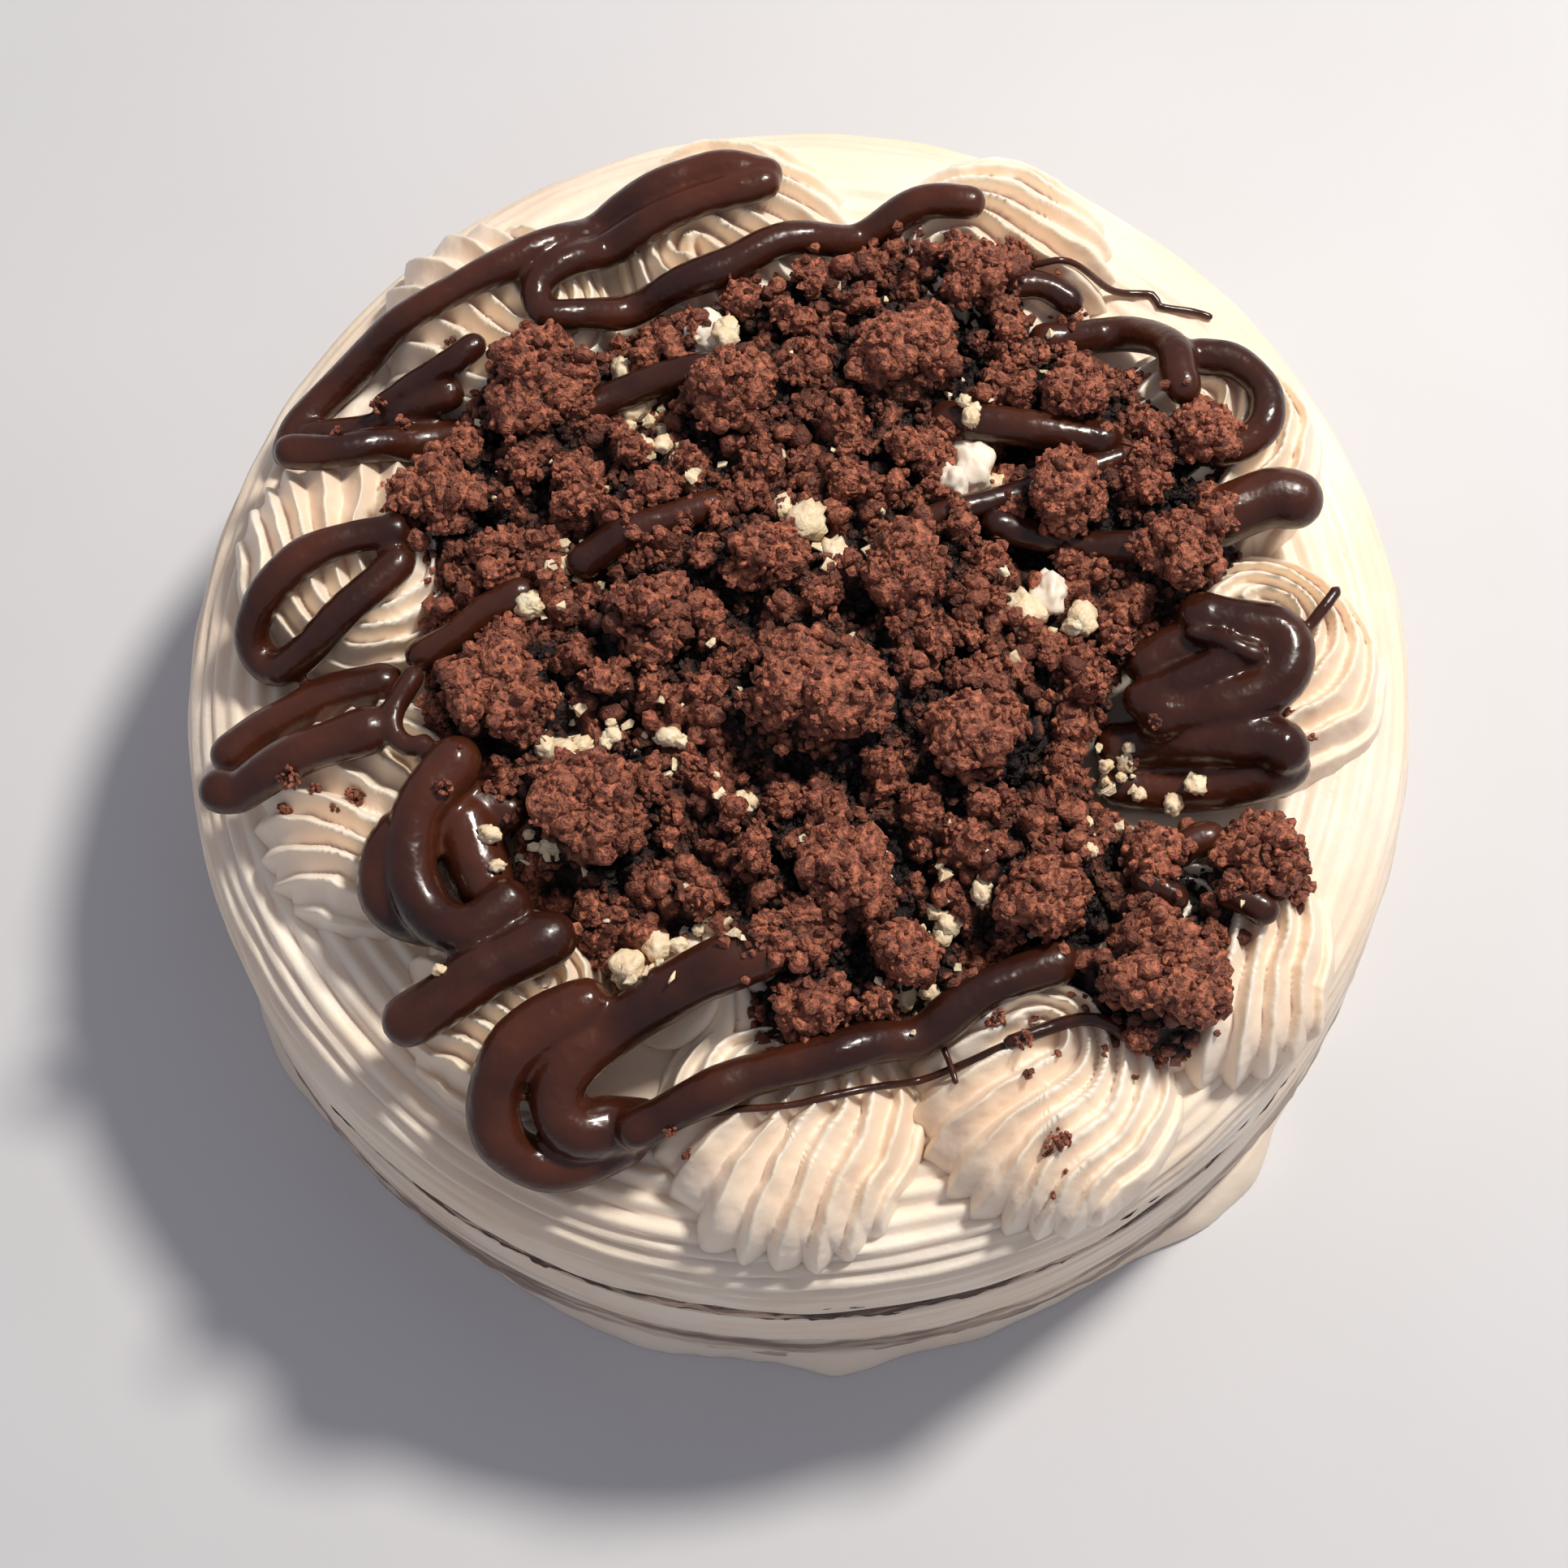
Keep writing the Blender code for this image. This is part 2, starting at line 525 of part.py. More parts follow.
def room_inside(x, y):
    """Distance from a point to the heap's outline, and 0 for a point outside it."""
    inside = False
    nearest = 1.0
    corners = HEAP_OUTLINE + HEAP_OUTLINE[:1]
    for (x1, y1), (x2, y2) in zip(corners, corners[1:]):
        if (y1 > y) != (y2 > y) and x < x1 + (y - y1) * (x2 - x1) / (y2 - y1):
            inside = not inside
        edge = Vector((x2 - x1, y2 - y1))
        share = max(0.0, min(1.0, Vector((x - x1, y - y1)).dot(edge) / edge.length_squared))
        nearest = min(nearest, (Vector((x - x1, y - y1)) - edge * share).length)
    return nearest if inside else 0.0


def lump(name, x, y, radius, detail, rough, bury, collection):
    """A knobbly ball set into the heap's surface."""
    bm = bmesh.new()
    bmesh.ops.create_icosphere(bm, subdivisions=detail, radius=radius)
    for vert in bm.verts:
        place = vert.co / radius * KNOB_SIZE + Vector((x, y, 0)) / LUMP_SHIFT
        vert.co *= 1 + rough * noise.noise(place)
    bmesh.ops.translate(bm, vec=(x, y, heap_height(x, y) + radius * (1 - 2 * bury)), verts=bm.verts)
    return from_bmesh(name, bm, collection)


def nut(name, x, y, length, draw, collection):
    """An angular chip of chopped nut, lying at a random turn."""
    bm = bmesh.new()
    bmesh.ops.create_cube(bm, size=1.0)
    for vert in bm.verts:
        vert.co *= draw.uniform(0.8, 1.1)
    bmesh.ops.scale(bm, vec=(length, length * draw.uniform(0.5, 0.75), length * 0.5), verts=bm.verts)
    turn = Matrix.Rotation(draw.uniform(0, math.tau), 3, "Z") @ Matrix.Rotation(draw.uniform(-0.4, 0.4), 3, "X")
    bmesh.ops.rotate(bm, cent=(0, 0, 0), matrix=turn, verts=bm.verts)
    bmesh.ops.translate(bm, vec=(x, y, heap_height(x, y) + length * 0.1), verts=bm.verts)
    bmesh.ops.triangulate(bm, faces=bm.faces)
    return from_bmesh(name, bm, collection)


def top_pieces(collection):
    """Clumps, chopped nuts and loose crumbs that cover the heap."""
    draw = random.Random(SEED)
    for number, (x, y, radius) in enumerate(CLUMPS):
        fitted = min(radius, room_inside(x, y) / (1 + CLUMP_ROUGH))
        lump(f"clump_{number}", x, y, fitted, 2, CLUMP_ROUGH, CLUMP_BURY, collection)
    for number, (x, y, length) in enumerate(NUTS):
        if room_inside(x, y) > length * 0.7:
            nut(f"nut_{number}", x, y, length, draw, collection)
    placed = [(x, y, radius) for x, y, radius in CLUMPS] + [(x, y, size * 0.6) for x, y, size in NUTS]
    made = 0
    while made < CRUMB_COUNT:
        x = draw.uniform(-0.065, 0.075)
        y = draw.uniform(-0.068, 0.070)
        radius = draw.uniform(*CRUMB_SIZES)
        clear = all(math.hypot(x - px, y - py) > radius + size * 0.8 for px, py, size in placed)
        if clear and room_inside(x, y) > radius * (1 + CLUMP_ROUGH):
            lump(f"crumb_{made}", x, y, radius, 1, CLUMP_ROUGH, CRUMB_BURY, collection)
            placed.append((x, y, radius))
            made += 1


def paint(obj, material):
    obj.data.materials.clear()
    obj.data.materials.append(material)


def main():
    clear_scene()
    cake = new_collection("layer_cake")
    cutters = new_collection("cutters")
    toppings = new_collection("toppings")

    cream_foot = foot(cake)
    sponge_lower = layer("sponge_lower", FOOT_TOP + GAP, LOWER_SPONGE_TOP, -SCRAPE_BULGE, cake)
    cream_filling = layer("cream_filling", LOWER_SPONGE_TOP + GAP, FILLING_TOP, SCRAPE_BULGE, cake)
    sponge_upper = layer("sponge_upper", FILLING_TOP + GAP, UPPER_SPONGE_TOP, -SCRAPE_BULGE, cake)

    cream_top = cream_slab(cake)
    for index in range(len(ROSETTES)):
        rosette(index, toppings)
    for name in ROPES:
        rope(name, toppings)
    boolean(cream_top, "UNION", toppings)
    empty_out(toppings)
    cutter = heap_prism("heap_cutter", CUT_CLEARANCE, CUTTER_TOP, cutters)
    cutter.hide_render = True
    cutter.display_type = "WIRE"
    boolean(cream_top, "DIFFERENCE", cutter)
    keep_largest_body(cream_top)

    crumble = heap_slab(cake)
    outline = heap_prism("heap_outline", 0.0, CUTTER_TOP, cutters)
    outline.hide_render = True
    outline.display_type = "WIRE"
    boolean(crumble, "INTERSECT", outline)
    top_pieces(toppings)
    boolean(crumble, "UNION", toppings)
    empty_out(toppings)
    keep_largest_body(crumble)

    for obj, food in ((cream_foot, "cream"), (sponge_lower, "coated_sponge"), (cream_filling, "cream"),
                      (sponge_upper, "sponge"), (cream_top, "cream"), (crumble, "crumble")):
        paint(obj, food_material(food))
        obj.data.shade_smooth()
        obj.data.set_sharp_from_angle(angle=math.radians(35))
    bpy.data.collections.remove(toppings)


main()
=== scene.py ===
# %% [markdown]
# # A layer cake with piped rosettes, ganache and crumble
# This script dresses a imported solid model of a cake. The solids give every size and place,
# and each cell below makes one thing that the eye sees: scraped sides, combed shoulder,
# piped cream, ropes of ganache, crumbs and nuts. Units are metres and +Z is up.

# %% Load the frame
import math
import random

import bmesh
import bpy
import numpy as np
from mathutils import Matrix, Vector, noise
from mathutils.bvhtree import BVHTree


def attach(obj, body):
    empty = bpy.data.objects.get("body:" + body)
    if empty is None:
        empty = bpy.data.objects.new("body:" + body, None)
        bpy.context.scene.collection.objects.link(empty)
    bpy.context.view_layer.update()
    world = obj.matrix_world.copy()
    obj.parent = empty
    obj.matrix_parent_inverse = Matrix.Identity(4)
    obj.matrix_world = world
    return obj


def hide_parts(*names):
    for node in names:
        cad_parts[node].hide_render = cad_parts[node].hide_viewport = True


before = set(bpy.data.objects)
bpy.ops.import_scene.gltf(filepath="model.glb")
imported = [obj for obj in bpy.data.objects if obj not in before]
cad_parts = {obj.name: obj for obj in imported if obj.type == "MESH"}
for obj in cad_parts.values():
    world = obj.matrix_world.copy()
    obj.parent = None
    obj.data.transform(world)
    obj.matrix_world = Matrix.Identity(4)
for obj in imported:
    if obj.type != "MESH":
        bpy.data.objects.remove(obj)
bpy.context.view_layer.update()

# %% [markdown]
# ## Camera
# A photograph taken from almost overhead makes circles into wide ellipses. The ellipse of the
# cake's foot gives the elevation, and the ratio of near to far arcs gives the distance. The
# camera could be aimed with a constraint, but a plain rotation keeps the file free of drivers.

# %% Camera
CAMERA_ELEVATION = math.radians(73.94)
CAMERA_DISTANCE = 0.5706
CAMERA_ROLL = math.radians(-3.57)
CAMERA_TARGET = Vector((-0.0032, -0.0008, 0.0))
CAMERA_LENS = 74.5
CAMERA_SENSOR = 36.0
CAMERA_NEAR = 0.01


def add_camera():
    data = bpy.data.cameras.new("camera")
    data.lens = CAMERA_LENS
    data.sensor_width = CAMERA_SENSOR
    data.sensor_fit = "HORIZONTAL"
    data.clip_start = CAMERA_NEAR
    camera = bpy.data.objects.new("camera", data)
    bpy.context.scene.collection.objects.link(camera)
    away = Vector((0, -math.cos(CAMERA_ELEVATION), math.sin(CAMERA_ELEVATION)))
    tilt = Matrix.Rotation(math.pi / 2 - CAMERA_ELEVATION, 4, "X")
    roll = Matrix.Rotation(CAMERA_ROLL, 4, "Z")
    camera.matrix_world = Matrix.Translation(CAMERA_TARGET + away * CAMERA_DISTANCE) @ tilt @ roll
    bpy.context.scene.camera = camera
    return camera


camera = add_camera()
print("camera stands", round(camera.matrix_world.translation.z, 3), "m above the floor")

# %% [markdown]
# ## Light and floor
# The cake is lit by one warm soft lamp from the back right, whose shadows fall to the front
# left, and by pale light from all round. An area lamp gives the broad highlights that ganache
# needs, where a point lamp would give pinpricks.

# %% Light
KEY_AZIMUTH = math.radians(38)
KEY_ELEVATION = math.radians(57)
KEY_DISTANCE = 1.3
KEY_SIZE = 0.20
KEY_POWER = 17.3
KEY_COLOUR = (1.0, 0.95, 0.875)
SURROUND_COLOUR = (0.86, 0.87, 1.0)
SURROUND_STRENGTH = 0.37


def add_light():
    data = bpy.data.lights.new("key", "AREA")
    data.shape = "DISK"
    data.size = KEY_SIZE
    data.energy = KEY_POWER
    data.color = KEY_COLOUR
    key = bpy.data.objects.new("key", data)
    bpy.context.scene.collection.objects.link(key)
    across = math.cos(KEY_ELEVATION)
    way = Vector((across * math.cos(KEY_AZIMUTH), across * math.sin(KEY_AZIMUTH),
                  math.sin(KEY_ELEVATION)))
    key.location = way * KEY_DISTANCE
    key.rotation_euler = way.to_track_quat("Z", "Y").to_euler()
    world = bpy.data.worlds.new("surround")
    world.use_nodes = True
    background = world.node_tree.nodes["Background"]
    background.inputs["Color"].default_value = (*SURROUND_COLOUR, 1.0)
    background.inputs["Strength"].default_value = SURROUND_STRENGTH
    bpy.context.scene.world = world
    bpy.context.scene.view_settings.view_transform = "Standard"


add_light()
print("lamp stands", KEY_DISTANCE, "m from the cake")

# %% [markdown]
# ## Helpers for materials
# Every finish here is a Principled shader fed by noise. A small class keeps the node code
# short: `noise_value` gives a grey pattern, `blend` mixes two colours by it, and `bump`
# roughens the surface. Object coordinates fit, because every piece stays at the origin.

# %% Material helpers


class Finish:
    """One procedural material under construction."""

    def __init__(self, name, roughness, **sockets):
        self.material = bpy.data.materials.new(name)
        self.material.use_nodes = True
        self.nodes = self.material.node_tree.nodes
        self.links = self.material.node_tree.links
        self.shader = self.nodes["Principled BSDF"]
        self.shader.inputs["Roughness"].default_value = roughness
        for socket, value in sockets.items():
            self.shader.inputs[socket.replace("_", " ")].default_value = value
        self.place = self.nodes.new("ShaderNodeTexCoord").outputs["Object"]

    def noise_value(self, scale, detail=4.0, stretch=(1, 1, 1), low=0.35, high=0.65):
        """A noise between 0 and 1, its middle range spread out."""
        mapping = self.nodes.new("ShaderNodeMapping")
        mapping.inputs["Scale"].default_value = stretch
        self.links.new(self.place, mapping.inputs["Vector"])
        texture = self.nodes.new("ShaderNodeTexNoise")
        texture.inputs["Scale"].default_value = scale
        texture.inputs["Detail"].default_value = detail
        self.links.new(mapping.outputs["Vector"], texture.inputs["Vector"])
        spread = self.nodes.new("ShaderNodeMapRange")
        spread.inputs["From Min"].default_value = low
        spread.inputs["From Max"].default_value = high
        self.links.new(texture.outputs["Fac"], spread.inputs["Value"])
        return spread.outputs["Result"]

    def attribute(self, name):
        node = self.nodes.new("ShaderNodeAttribute")
        node.attribute_name = name
        return node.outputs["Fac"]

    def blend(self, amount, first, second):
        """A colour between two colours or colour outputs, by an amount."""
        mix = self.nodes.new("ShaderNodeMix")
        mix.data_type = "RGBA"
        self.links.new(amount, mix.inputs["Factor"])
        for socket, value in (("A", first), ("B", second)):
            target = [item for item in mix.inputs if item.name == socket and item.type == "RGBA"][0]
            if isinstance(value, tuple):
                target.default_value = (*value, 1.0)
            else:
                self.links.new(value, target)
        return [item for item in mix.outputs if item.type == "RGBA"][0]

    def colour(self, output):
        self.links.new(output, self.shader.inputs["Base Color"])

    def roughness(self, amount, low, high):
        spread = self.nodes.new("ShaderNodeMapRange")
        spread.inputs["To Min"].default_value = low
        spread.inputs["To Max"].default_value = high
        self.links.new(amount, spread.inputs["Value"])
        self.links.new(spread.outputs["Result"], self.shader.inputs["Roughness"])

    def bump(self, *layers):
        """Relief from (pattern, height in metres, strength) layers, one on another."""
        normal = None
        for pattern, distance, strength in layers:
            node = self.nodes.new("ShaderNodeBump")
            node.inputs["Distance"].default_value = distance
            node.inputs["Strength"].default_value = strength
            self.links.new(pattern, node.inputs["Height"])
            if normal is not None:
                self.links.new(normal, node.inputs["Normal"])
            normal = node.outputs["Normal"]
        self.links.new(normal, self.shader.inputs["Normal"])


def dress(obj, finish, node):
    """Give a piece its finish and its body, and hide the solid that it stands for."""
    obj.data.materials.clear()
    obj.data.materials.append(finish.material)
    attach(obj, "root")
    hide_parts(node)


def new_object(name, mesh):
    obj = bpy.data.objects.new(name, mesh)
    bpy.context.scene.collection.objects.link(obj)
    mesh.shade_smooth()
    return obj


def from_bmesh(name, bm):
    bmesh.ops.recalc_face_normals(bm, faces=bm.faces)
    mesh = bpy.data.meshes.new(name)
    bm.to_mesh(mesh)
    bm.free()
    return new_object(name, mesh)


# %% Floor
FLOOR_SIZE = 3.0
FLOOR_DULL = (0.605, 0.602, 0.612)
FLOOR_PALE = (0.635, 0.632, 0.642)


def add_floor():
    bm = bmesh.new()
    bmesh.ops.create_grid(bm, x_segments=1, y_segments=1, size=FLOOR_SIZE)
    floor = from_bmesh("floor", bm)
    finish = Finish("pale_floor", 0.6)
    finish.colour(finish.blend(finish.noise_value(9.0, 3.0), FLOOR_DULL, FLOOR_PALE))
    floor.data.materials.append(finish.material)


add_floor()
print("floor is", 2 * FLOOR_SIZE, "m wide")

# %% [markdown]
# ## Finishes of the foods
# Whipped coffee cream is pale, soft and a little translucent, so light that enters it comes
# out nearby. Where the spatula scraped the side thin, the sponge tints it. Ganache is dark and
# shiny, and crumbs are matt with moist glints.

# %% Food finishes
CREAM_LIGHT = (0.930, 0.800, 0.665)
CREAM_DEEP = (0.870, 0.700, 0.540)
COAT_TINT = (0.24, 0.165, 0.125)
SMEAR = (0.60, 0.43, 0.32)
SPONGE_DARK = (0.035, 0.018, 0.013)
SPONGE_WARM = (0.11, 0.052, 0.035)
GANACHE_DARK = (0.027, 0.0068, 0.0036)
GANACHE_WARM = (0.074, 0.0190, 0.0085)
# Painted shade: the near-black colour given to crumbs deep in the heap's pits
CRUMB_PAINTED_SHADE = (0.007, 0.0016, 0.0010)
CRUMB_DARK = (0.120, 0.0330, 0.0190)
CRUMB_WARM = (0.560, 0.1850, 0.1000)
NUT_LIGHT = (0.90, 0.75, 0.53)
NUT_TAN = (0.78, 0.58, 0.36)


def cream_finish():
    finish = Finish("coffee_cream", 0.42, Subsurface_Weight=0.30, Subsurface_Scale=0.004, IOR=1.42)
    finish.shader.inputs["Subsurface Radius"].default_value = (1.0, 0.62, 0.36)
    cloud = finish.noise_value(45.0, 3.0)
    finish.colour(finish.blend(cloud, CREAM_LIGHT, CREAM_DEEP))
    pores = finish.noise_value(900.0, 3.0)
    waves = finish.noise_value(260.0, 2.0)
    finish.bump((waves, 0.0003, 0.15), (pores, 0.0001, 0.25))
    return finish


def scraped_finish(name, tint, low, high):
    """Cream dragged thin over sponge: streaks run round the side."""
    finish = Finish(name, 0.5, Subsurface_Weight=0.12, Subsurface_Scale=0.003)
    streaks = finish.noise_value(70.0, 5.0, stretch=(0.35, 0.35, 4.0), low=low, high=high)
    cloud = finish.noise_value(60.0, 3.0)
    pale = finish.blend(cloud, CREAM_LIGHT, CREAM_DEEP)
    finish.colour(finish.blend(streaks, pale, tint))
    pores = finish.noise_value(700.0, 3.0)
    finish.bump((streaks, 0.0005, 0.35), (pores, 0.0001, 0.3))
    return finish


def sponge_finish():
    finish = Finish("chocolate_sponge", 0.8)
    patches = finish.noise_value(170.0, 6.0)
    holes = finish.noise_value(650.0, 4.0)
    smears = finish.noise_value(75.0, 6.0, stretch=(0.6, 0.6, 3.0), low=0.51, high=0.62)
    dark = finish.blend(patches, SPONGE_DARK, SPONGE_WARM)
    finish.colour(finish.blend(smears, dark, SMEAR))
    finish.bump((patches, 0.0010, 0.7), (holes, 0.0004, 0.6))
    return finish


def ganache_finish():
    finish = Finish("chocolate_ganache", 0.22, Coat_Weight=0.25, Coat_Roughness=0.12, IOR=1.38)
    cloud = finish.noise_value(55.0, 3.0)
    finish.colour(finish.blend(cloud, GANACHE_DARK, GANACHE_WARM))
    finish.roughness(finish.noise_value(120.0, 4.0), 0.18, 0.36)
    ripples = finish.noise_value(150.0, 3.0)
    specks = finish.noise_value(1600.0, 2.0)
    finish.bump((ripples, 0.0008, 0.30), (specks, 0.00005, 0.15))
    return finish


def crumble_finish():
    finish = Finish("chocolate_crumble", 0.62, IOR=1.45)
    grain = finish.noise_value(900.0, 4.0)
    tone = finish.attribute("tone")
    warm = finish.blend(grain, CRUMB_DARK, CRUMB_WARM)
    dull = finish.blend(tone, warm, CRUMB_DARK)
    # Crumbs deep in the pits turn near black: painted shade
    finish.colour(finish.blend(finish.attribute("pit"), dull, CRUMB_PAINTED_SHADE))
    finish.roughness(grain, 0.38, 0.80)
    fine = finish.noise_value(2600.0, 3.0)
    finish.bump((grain, 0.0005, 0.8), (fine, 0.0002, 0.6))
    return finish


def nut_finish():
    finish = Finish("chopped_nut", 0.5, Subsurface_Weight=0.15, Subsurface_Scale=0.002)
    cloud = finish.noise_value(420.0, 4.0)
    finish.colour(finish.blend(cloud, NUT_LIGHT, NUT_TAN))
    finish.bump((finish.noise_value(900.0, 4.0), 0.0003, 0.5))
    return finish


CREAM = cream_finish()
COATED = scraped_finish("thin_coat", COAT_TINT, 0.30, 0.62)
SCRAPED = scraped_finish("scraped_cream", COAT_TINT, 0.52, 0.95)
SPONGE = sponge_finish()
GANACHE = ganache_finish()
CRUMBLE = crumble_finish()
NUT = nut_finish()
print("finishes:", len(bpy.data.materials))

# %% [markdown]
# ## The scraped side
# On the real cake a spatula was held against the turning side, so the cream is thick between
# the sponges and almost gone over them. Each layer is a profile spun round the axis, and then
# every point is moved in or out by noise that is long round the cake and short up its height,
# as scrape marks are. Spinning gives even loops of points that such a rule can move.

# %% Sizes of the side, as in the solids
BASE_RADIUS = 0.1015
SHOULDER_RADIUS = 0.0985
FOOT_TOP = 0.007
LOWER_SPONGE_TOP = 0.018
FILLING_TOP = 0.036
UPPER_SPONGE_TOP = 0.043
PLATEAU = 0.062
SIDE_STEPS = 420
# A layer is plain inside the first radius, and its points move only outside the second
PLAIN_RADIUS = 0.080
CORE_RADIUS = 0.09
MERGE = 0.000001


def side_radius(height):
    share = min(max(height, 0.0) / UPPER_SPONGE_TOP, 1.0)
    return BASE_RADIUS + (SHOULDER_RADIUS - BASE_RADIUS) * share


def ring_noise(angle, height, size, seed):
    """Noise that joins up round the cake: size is its length round the side in metres."""
    reach = BASE_RADIUS / size
    return noise.noise(Vector((math.cos(angle) * reach, math.sin(angle) * reach, height + seed)))


def bump_at(angle, centre, width):
    """1 at an angle in degrees, falling smoothly to 0 over a width."""
    away = (math.degrees(angle) - centre + 180) % 360 - 180
    return math.exp(-(away / width) ** 2)


def unevenness(angle, height, layers):
    """The sum of noises: depth, fineness up the height, length round the side and seed."""
    return sum(depth * ring_noise(angle, height * fineness, length, seed)
               for depth, fineness, length, seed in layers)


def spin_line(points, steps, merge=MERGE):
    """A line of (radius, height) points, spun once round the z axis."""
    bm = bmesh.new()
    verts = [bm.verts.new((radius, 0, height)) for radius, height in points]
    edges = [bm.edges.new(pair) for pair in zip(verts, verts[1:])]
    bmesh.ops.spin(bm, geom=verts + edges, cent=(0, 0, 0), axis=(0, 0, 1), angle=math.tau,
                   steps=steps, use_merge=True)
    bmesh.ops.remove_doubles(bm, verts=bm.verts, dist=merge)
    return bm


def shape_ring(obj, rule, core=CORE_RADIUS):
    """Move each point of a spun piece: the rule gives its new radius and height."""
    for vert in obj.data.vertices:
        radius = math.hypot(vert.co.x, vert.co.y)
        if radius < core:
            continue
        angle = math.atan2(vert.co.y, vert.co.x) % math.tau
        new_radius, height = rule(angle, radius, vert.co.z)
        vert.co.x *= new_radius / radius
        vert.co.y *= new_radius / radius
        vert.co.z = height
    obj.data.update()


def band_profile(low, high, rows):
    """A layer's section: out along its bottom, up its outside and in along its top."""
    outside = [(side_radius(low + (high - low) * row / rows), low + (high - low) * row / rows)
               for row in range(rows + 1)]
    return [(0.0, low), (PLAIN_RADIUS, low)] + outside + [(PLAIN_RADIUS, high), (0.0, high)]


print("side narrows from", side_radius(0.0), "to", side_radius(UPPER_SPONGE_TOP), "m")

# %% Foot of squeezed-out cream
# Angle and width in degrees, and reach, of each blob
FOOT_BLOBS = [(252, 9, 0.0018), (270, 5, 0.0030), (284, 7, 0.0014), (308, 6, 0.0036),
              (314, 4, 0.0026), (40, 10, 0.0020), (95, 8, 0.0026), (150, 9, 0.0016),
              (205, 7, 0.0020)]
FOOT_ROUGH = [(0.0006, 60, 0.012, 3.0), (0.0003, 200, 0.004, 9.0)]
FOOT_INSET = 0.0007
FOOT_WAVE = 0.0010


def foot_rule(angle, radius, height):
    reach = sum(size * bump_at(angle, centre, width) for centre, width, size in FOOT_BLOBS)
    reach += unevenness(angle, height, FOOT_ROUGH)
    share = 1 - 0.8 * (height / FOOT_TOP) ** 2
    wavy = FOOT_WAVE * ring_noise(angle, 0.0, 0.02, 5.0) * height / FOOT_TOP
    return radius - FOOT_INSET + reach * share, max(0.0, height + wavy)


foot = from_bmesh("foot_cream", spin_line(band_profile(0.0, FOOT_TOP, 10), SIDE_STEPS))
shape_ring(foot, foot_rule)
dress(foot, CREAM, "cream_foot")
print("foot points:", len(foot.data.vertices))

# %% Lower sponge under its thin coat
LOWER_LOW = FOOT_TOP - 0.0015
LOWER_HIGH = LOWER_SPONGE_TOP + 0.001
LOWER_ROUGH = [(0.0005, 500, 0.010, 11.0), (0.0003, 700, 0.003, 4.0)]
COAT_INSET = 0.0002


def lower_rule(angle, radius, height):
    return radius - COAT_INSET + unevenness(angle, height, LOWER_ROUGH), height


lower = from_bmesh("lower_sponge", spin_line(band_profile(LOWER_LOW, LOWER_HIGH, 16), SIDE_STEPS))
shape_ring(lower, lower_rule)
dress(lower, COATED, "sponge_lower")
print("lower sponge points:", len(lower.data.vertices))

# %% Cream filling between the sponges
FILLING_ROUGH = [(0.00035, 420, 0.030, 2.0)]
FILLING_BULGE = 0.0004
FILLING_WAVE = 0.0016


def filling_rule(angle, radius, height):
    """A band that bulges in the middle and whose two edges wander up and down."""
    share = (height - LOWER_SPONGE_TOP) / (FILLING_TOP - LOWER_SPONGE_TOP)
    bulge = FILLING_BULGE * math.sin(math.pi * min(max(share, 0.0), 1.0)) ** 0.5
    way = 1 if share > 0.5 else -1
    edge = FILLING_WAVE * ring_noise(angle, 0.0, 0.016, 7.0) * way * abs(2 * share - 1) ** 3
    scrape = unevenness(angle, height, FILLING_ROUGH)
    return radius + bulge + scrape - COAT_INSET, height + edge


filling = from_bmesh("cream_filling_coat",
                     spin_line(band_profile(LOWER_SPONGE_TOP, FILLING_TOP, 26), SIDE_STEPS))
shape_ring(filling, filling_rule)
dress(filling, SCRAPED, "cream_filling")
print("filling points:", len(filling.data.vertices))

# %% Upper sponge, a dark open crumb
UPPER_LOW = FILLING_TOP - 0.003
UPPER_HIGH = UPPER_SPONGE_TOP + 0.003
UPPER_STEPS = 900
UPPER_ROUGH = [(0.0008, 300, 0.005, 21.0), (0.0005, 900, 0.0018, 8.0)]
UPPER_INSET = 0.0003


def sponge_rule(angle, radius, height):
    return radius - UPPER_INSET + unevenness(angle, height, UPPER_ROUGH) * 0.6, height


upper = from_bmesh("upper_sponge", spin_line(band_profile(UPPER_LOW, UPPER_HIGH, 22), UPPER_STEPS))
shape_ring(upper, sponge_rule)
dress(upper, SPONGE, "sponge_upper")
print("side layers:", [obj.name for obj in (foot, lower, filling, upper)])

# %% [markdown]
# ## The top cream and its combed shoulder
# The top was smoothed with a spatula whose tip left long grooves round the shoulder. They
# are not quite circles: each one drifts inward as the cake turned. A groove here is a rounded
# crest with a sharp valley, the absolute value of a sine, and its phase moves with the angle.

# %% Top cream
SHOULDER_START = 0.0835
SHOULDER_ROWS = 52
SHOULDER_STEPS = 720
TOP_UNDERSIDE = 0.0405
COMB_START = 0.0735
COMB_TURN = 0.0598
COMB_PITCH = 0.0037
COMB_DEPTH = 0.0018
COMB_DRIFT = 3
COMB_FADE = 0.008
# Below this height the cream's lower edge lifts off the dark sponge
HEM = 0.0475
HEM_DEPTH = 0.007
HEM_LIFT = 0.0050


def shoulder_profile():
    """The cream's outline from the axis outwards and down to the upper sponge."""
    flat = [(0.0, PLATEAU), (0.040, PLATEAU), (0.070, PLATEAU)]
    slope = []
    corners = [(0.0740, PLATEAU), (SHOULDER_START, PLATEAU), (0.0915, COMB_TURN),
               (0.0963, 0.0562), (0.0981, 0.0505), (SHOULDER_RADIUS, 0.0450),
               (SHOULDER_RADIUS + 0.0003, TOP_UNDERSIDE)]
    lengths = [math.dist(a, b) for a, b in zip(corners, corners[1:])]
    total = sum(lengths)
    for row in range(SHOULDER_ROWS + 1):
        way = total * row / SHOULDER_ROWS
        for (start, end), length in zip(zip(corners, corners[1:]), lengths):
            if way <= length + 1e-9:
                share = way / length
                slope.append(tuple(a + (b - a) * share for a, b in zip(start, end)))
                break
            way -= length
    return flat + slope + [(PLAIN_RADIUS, TOP_UNDERSIDE), (0.0, TOP_UNDERSIDE)]


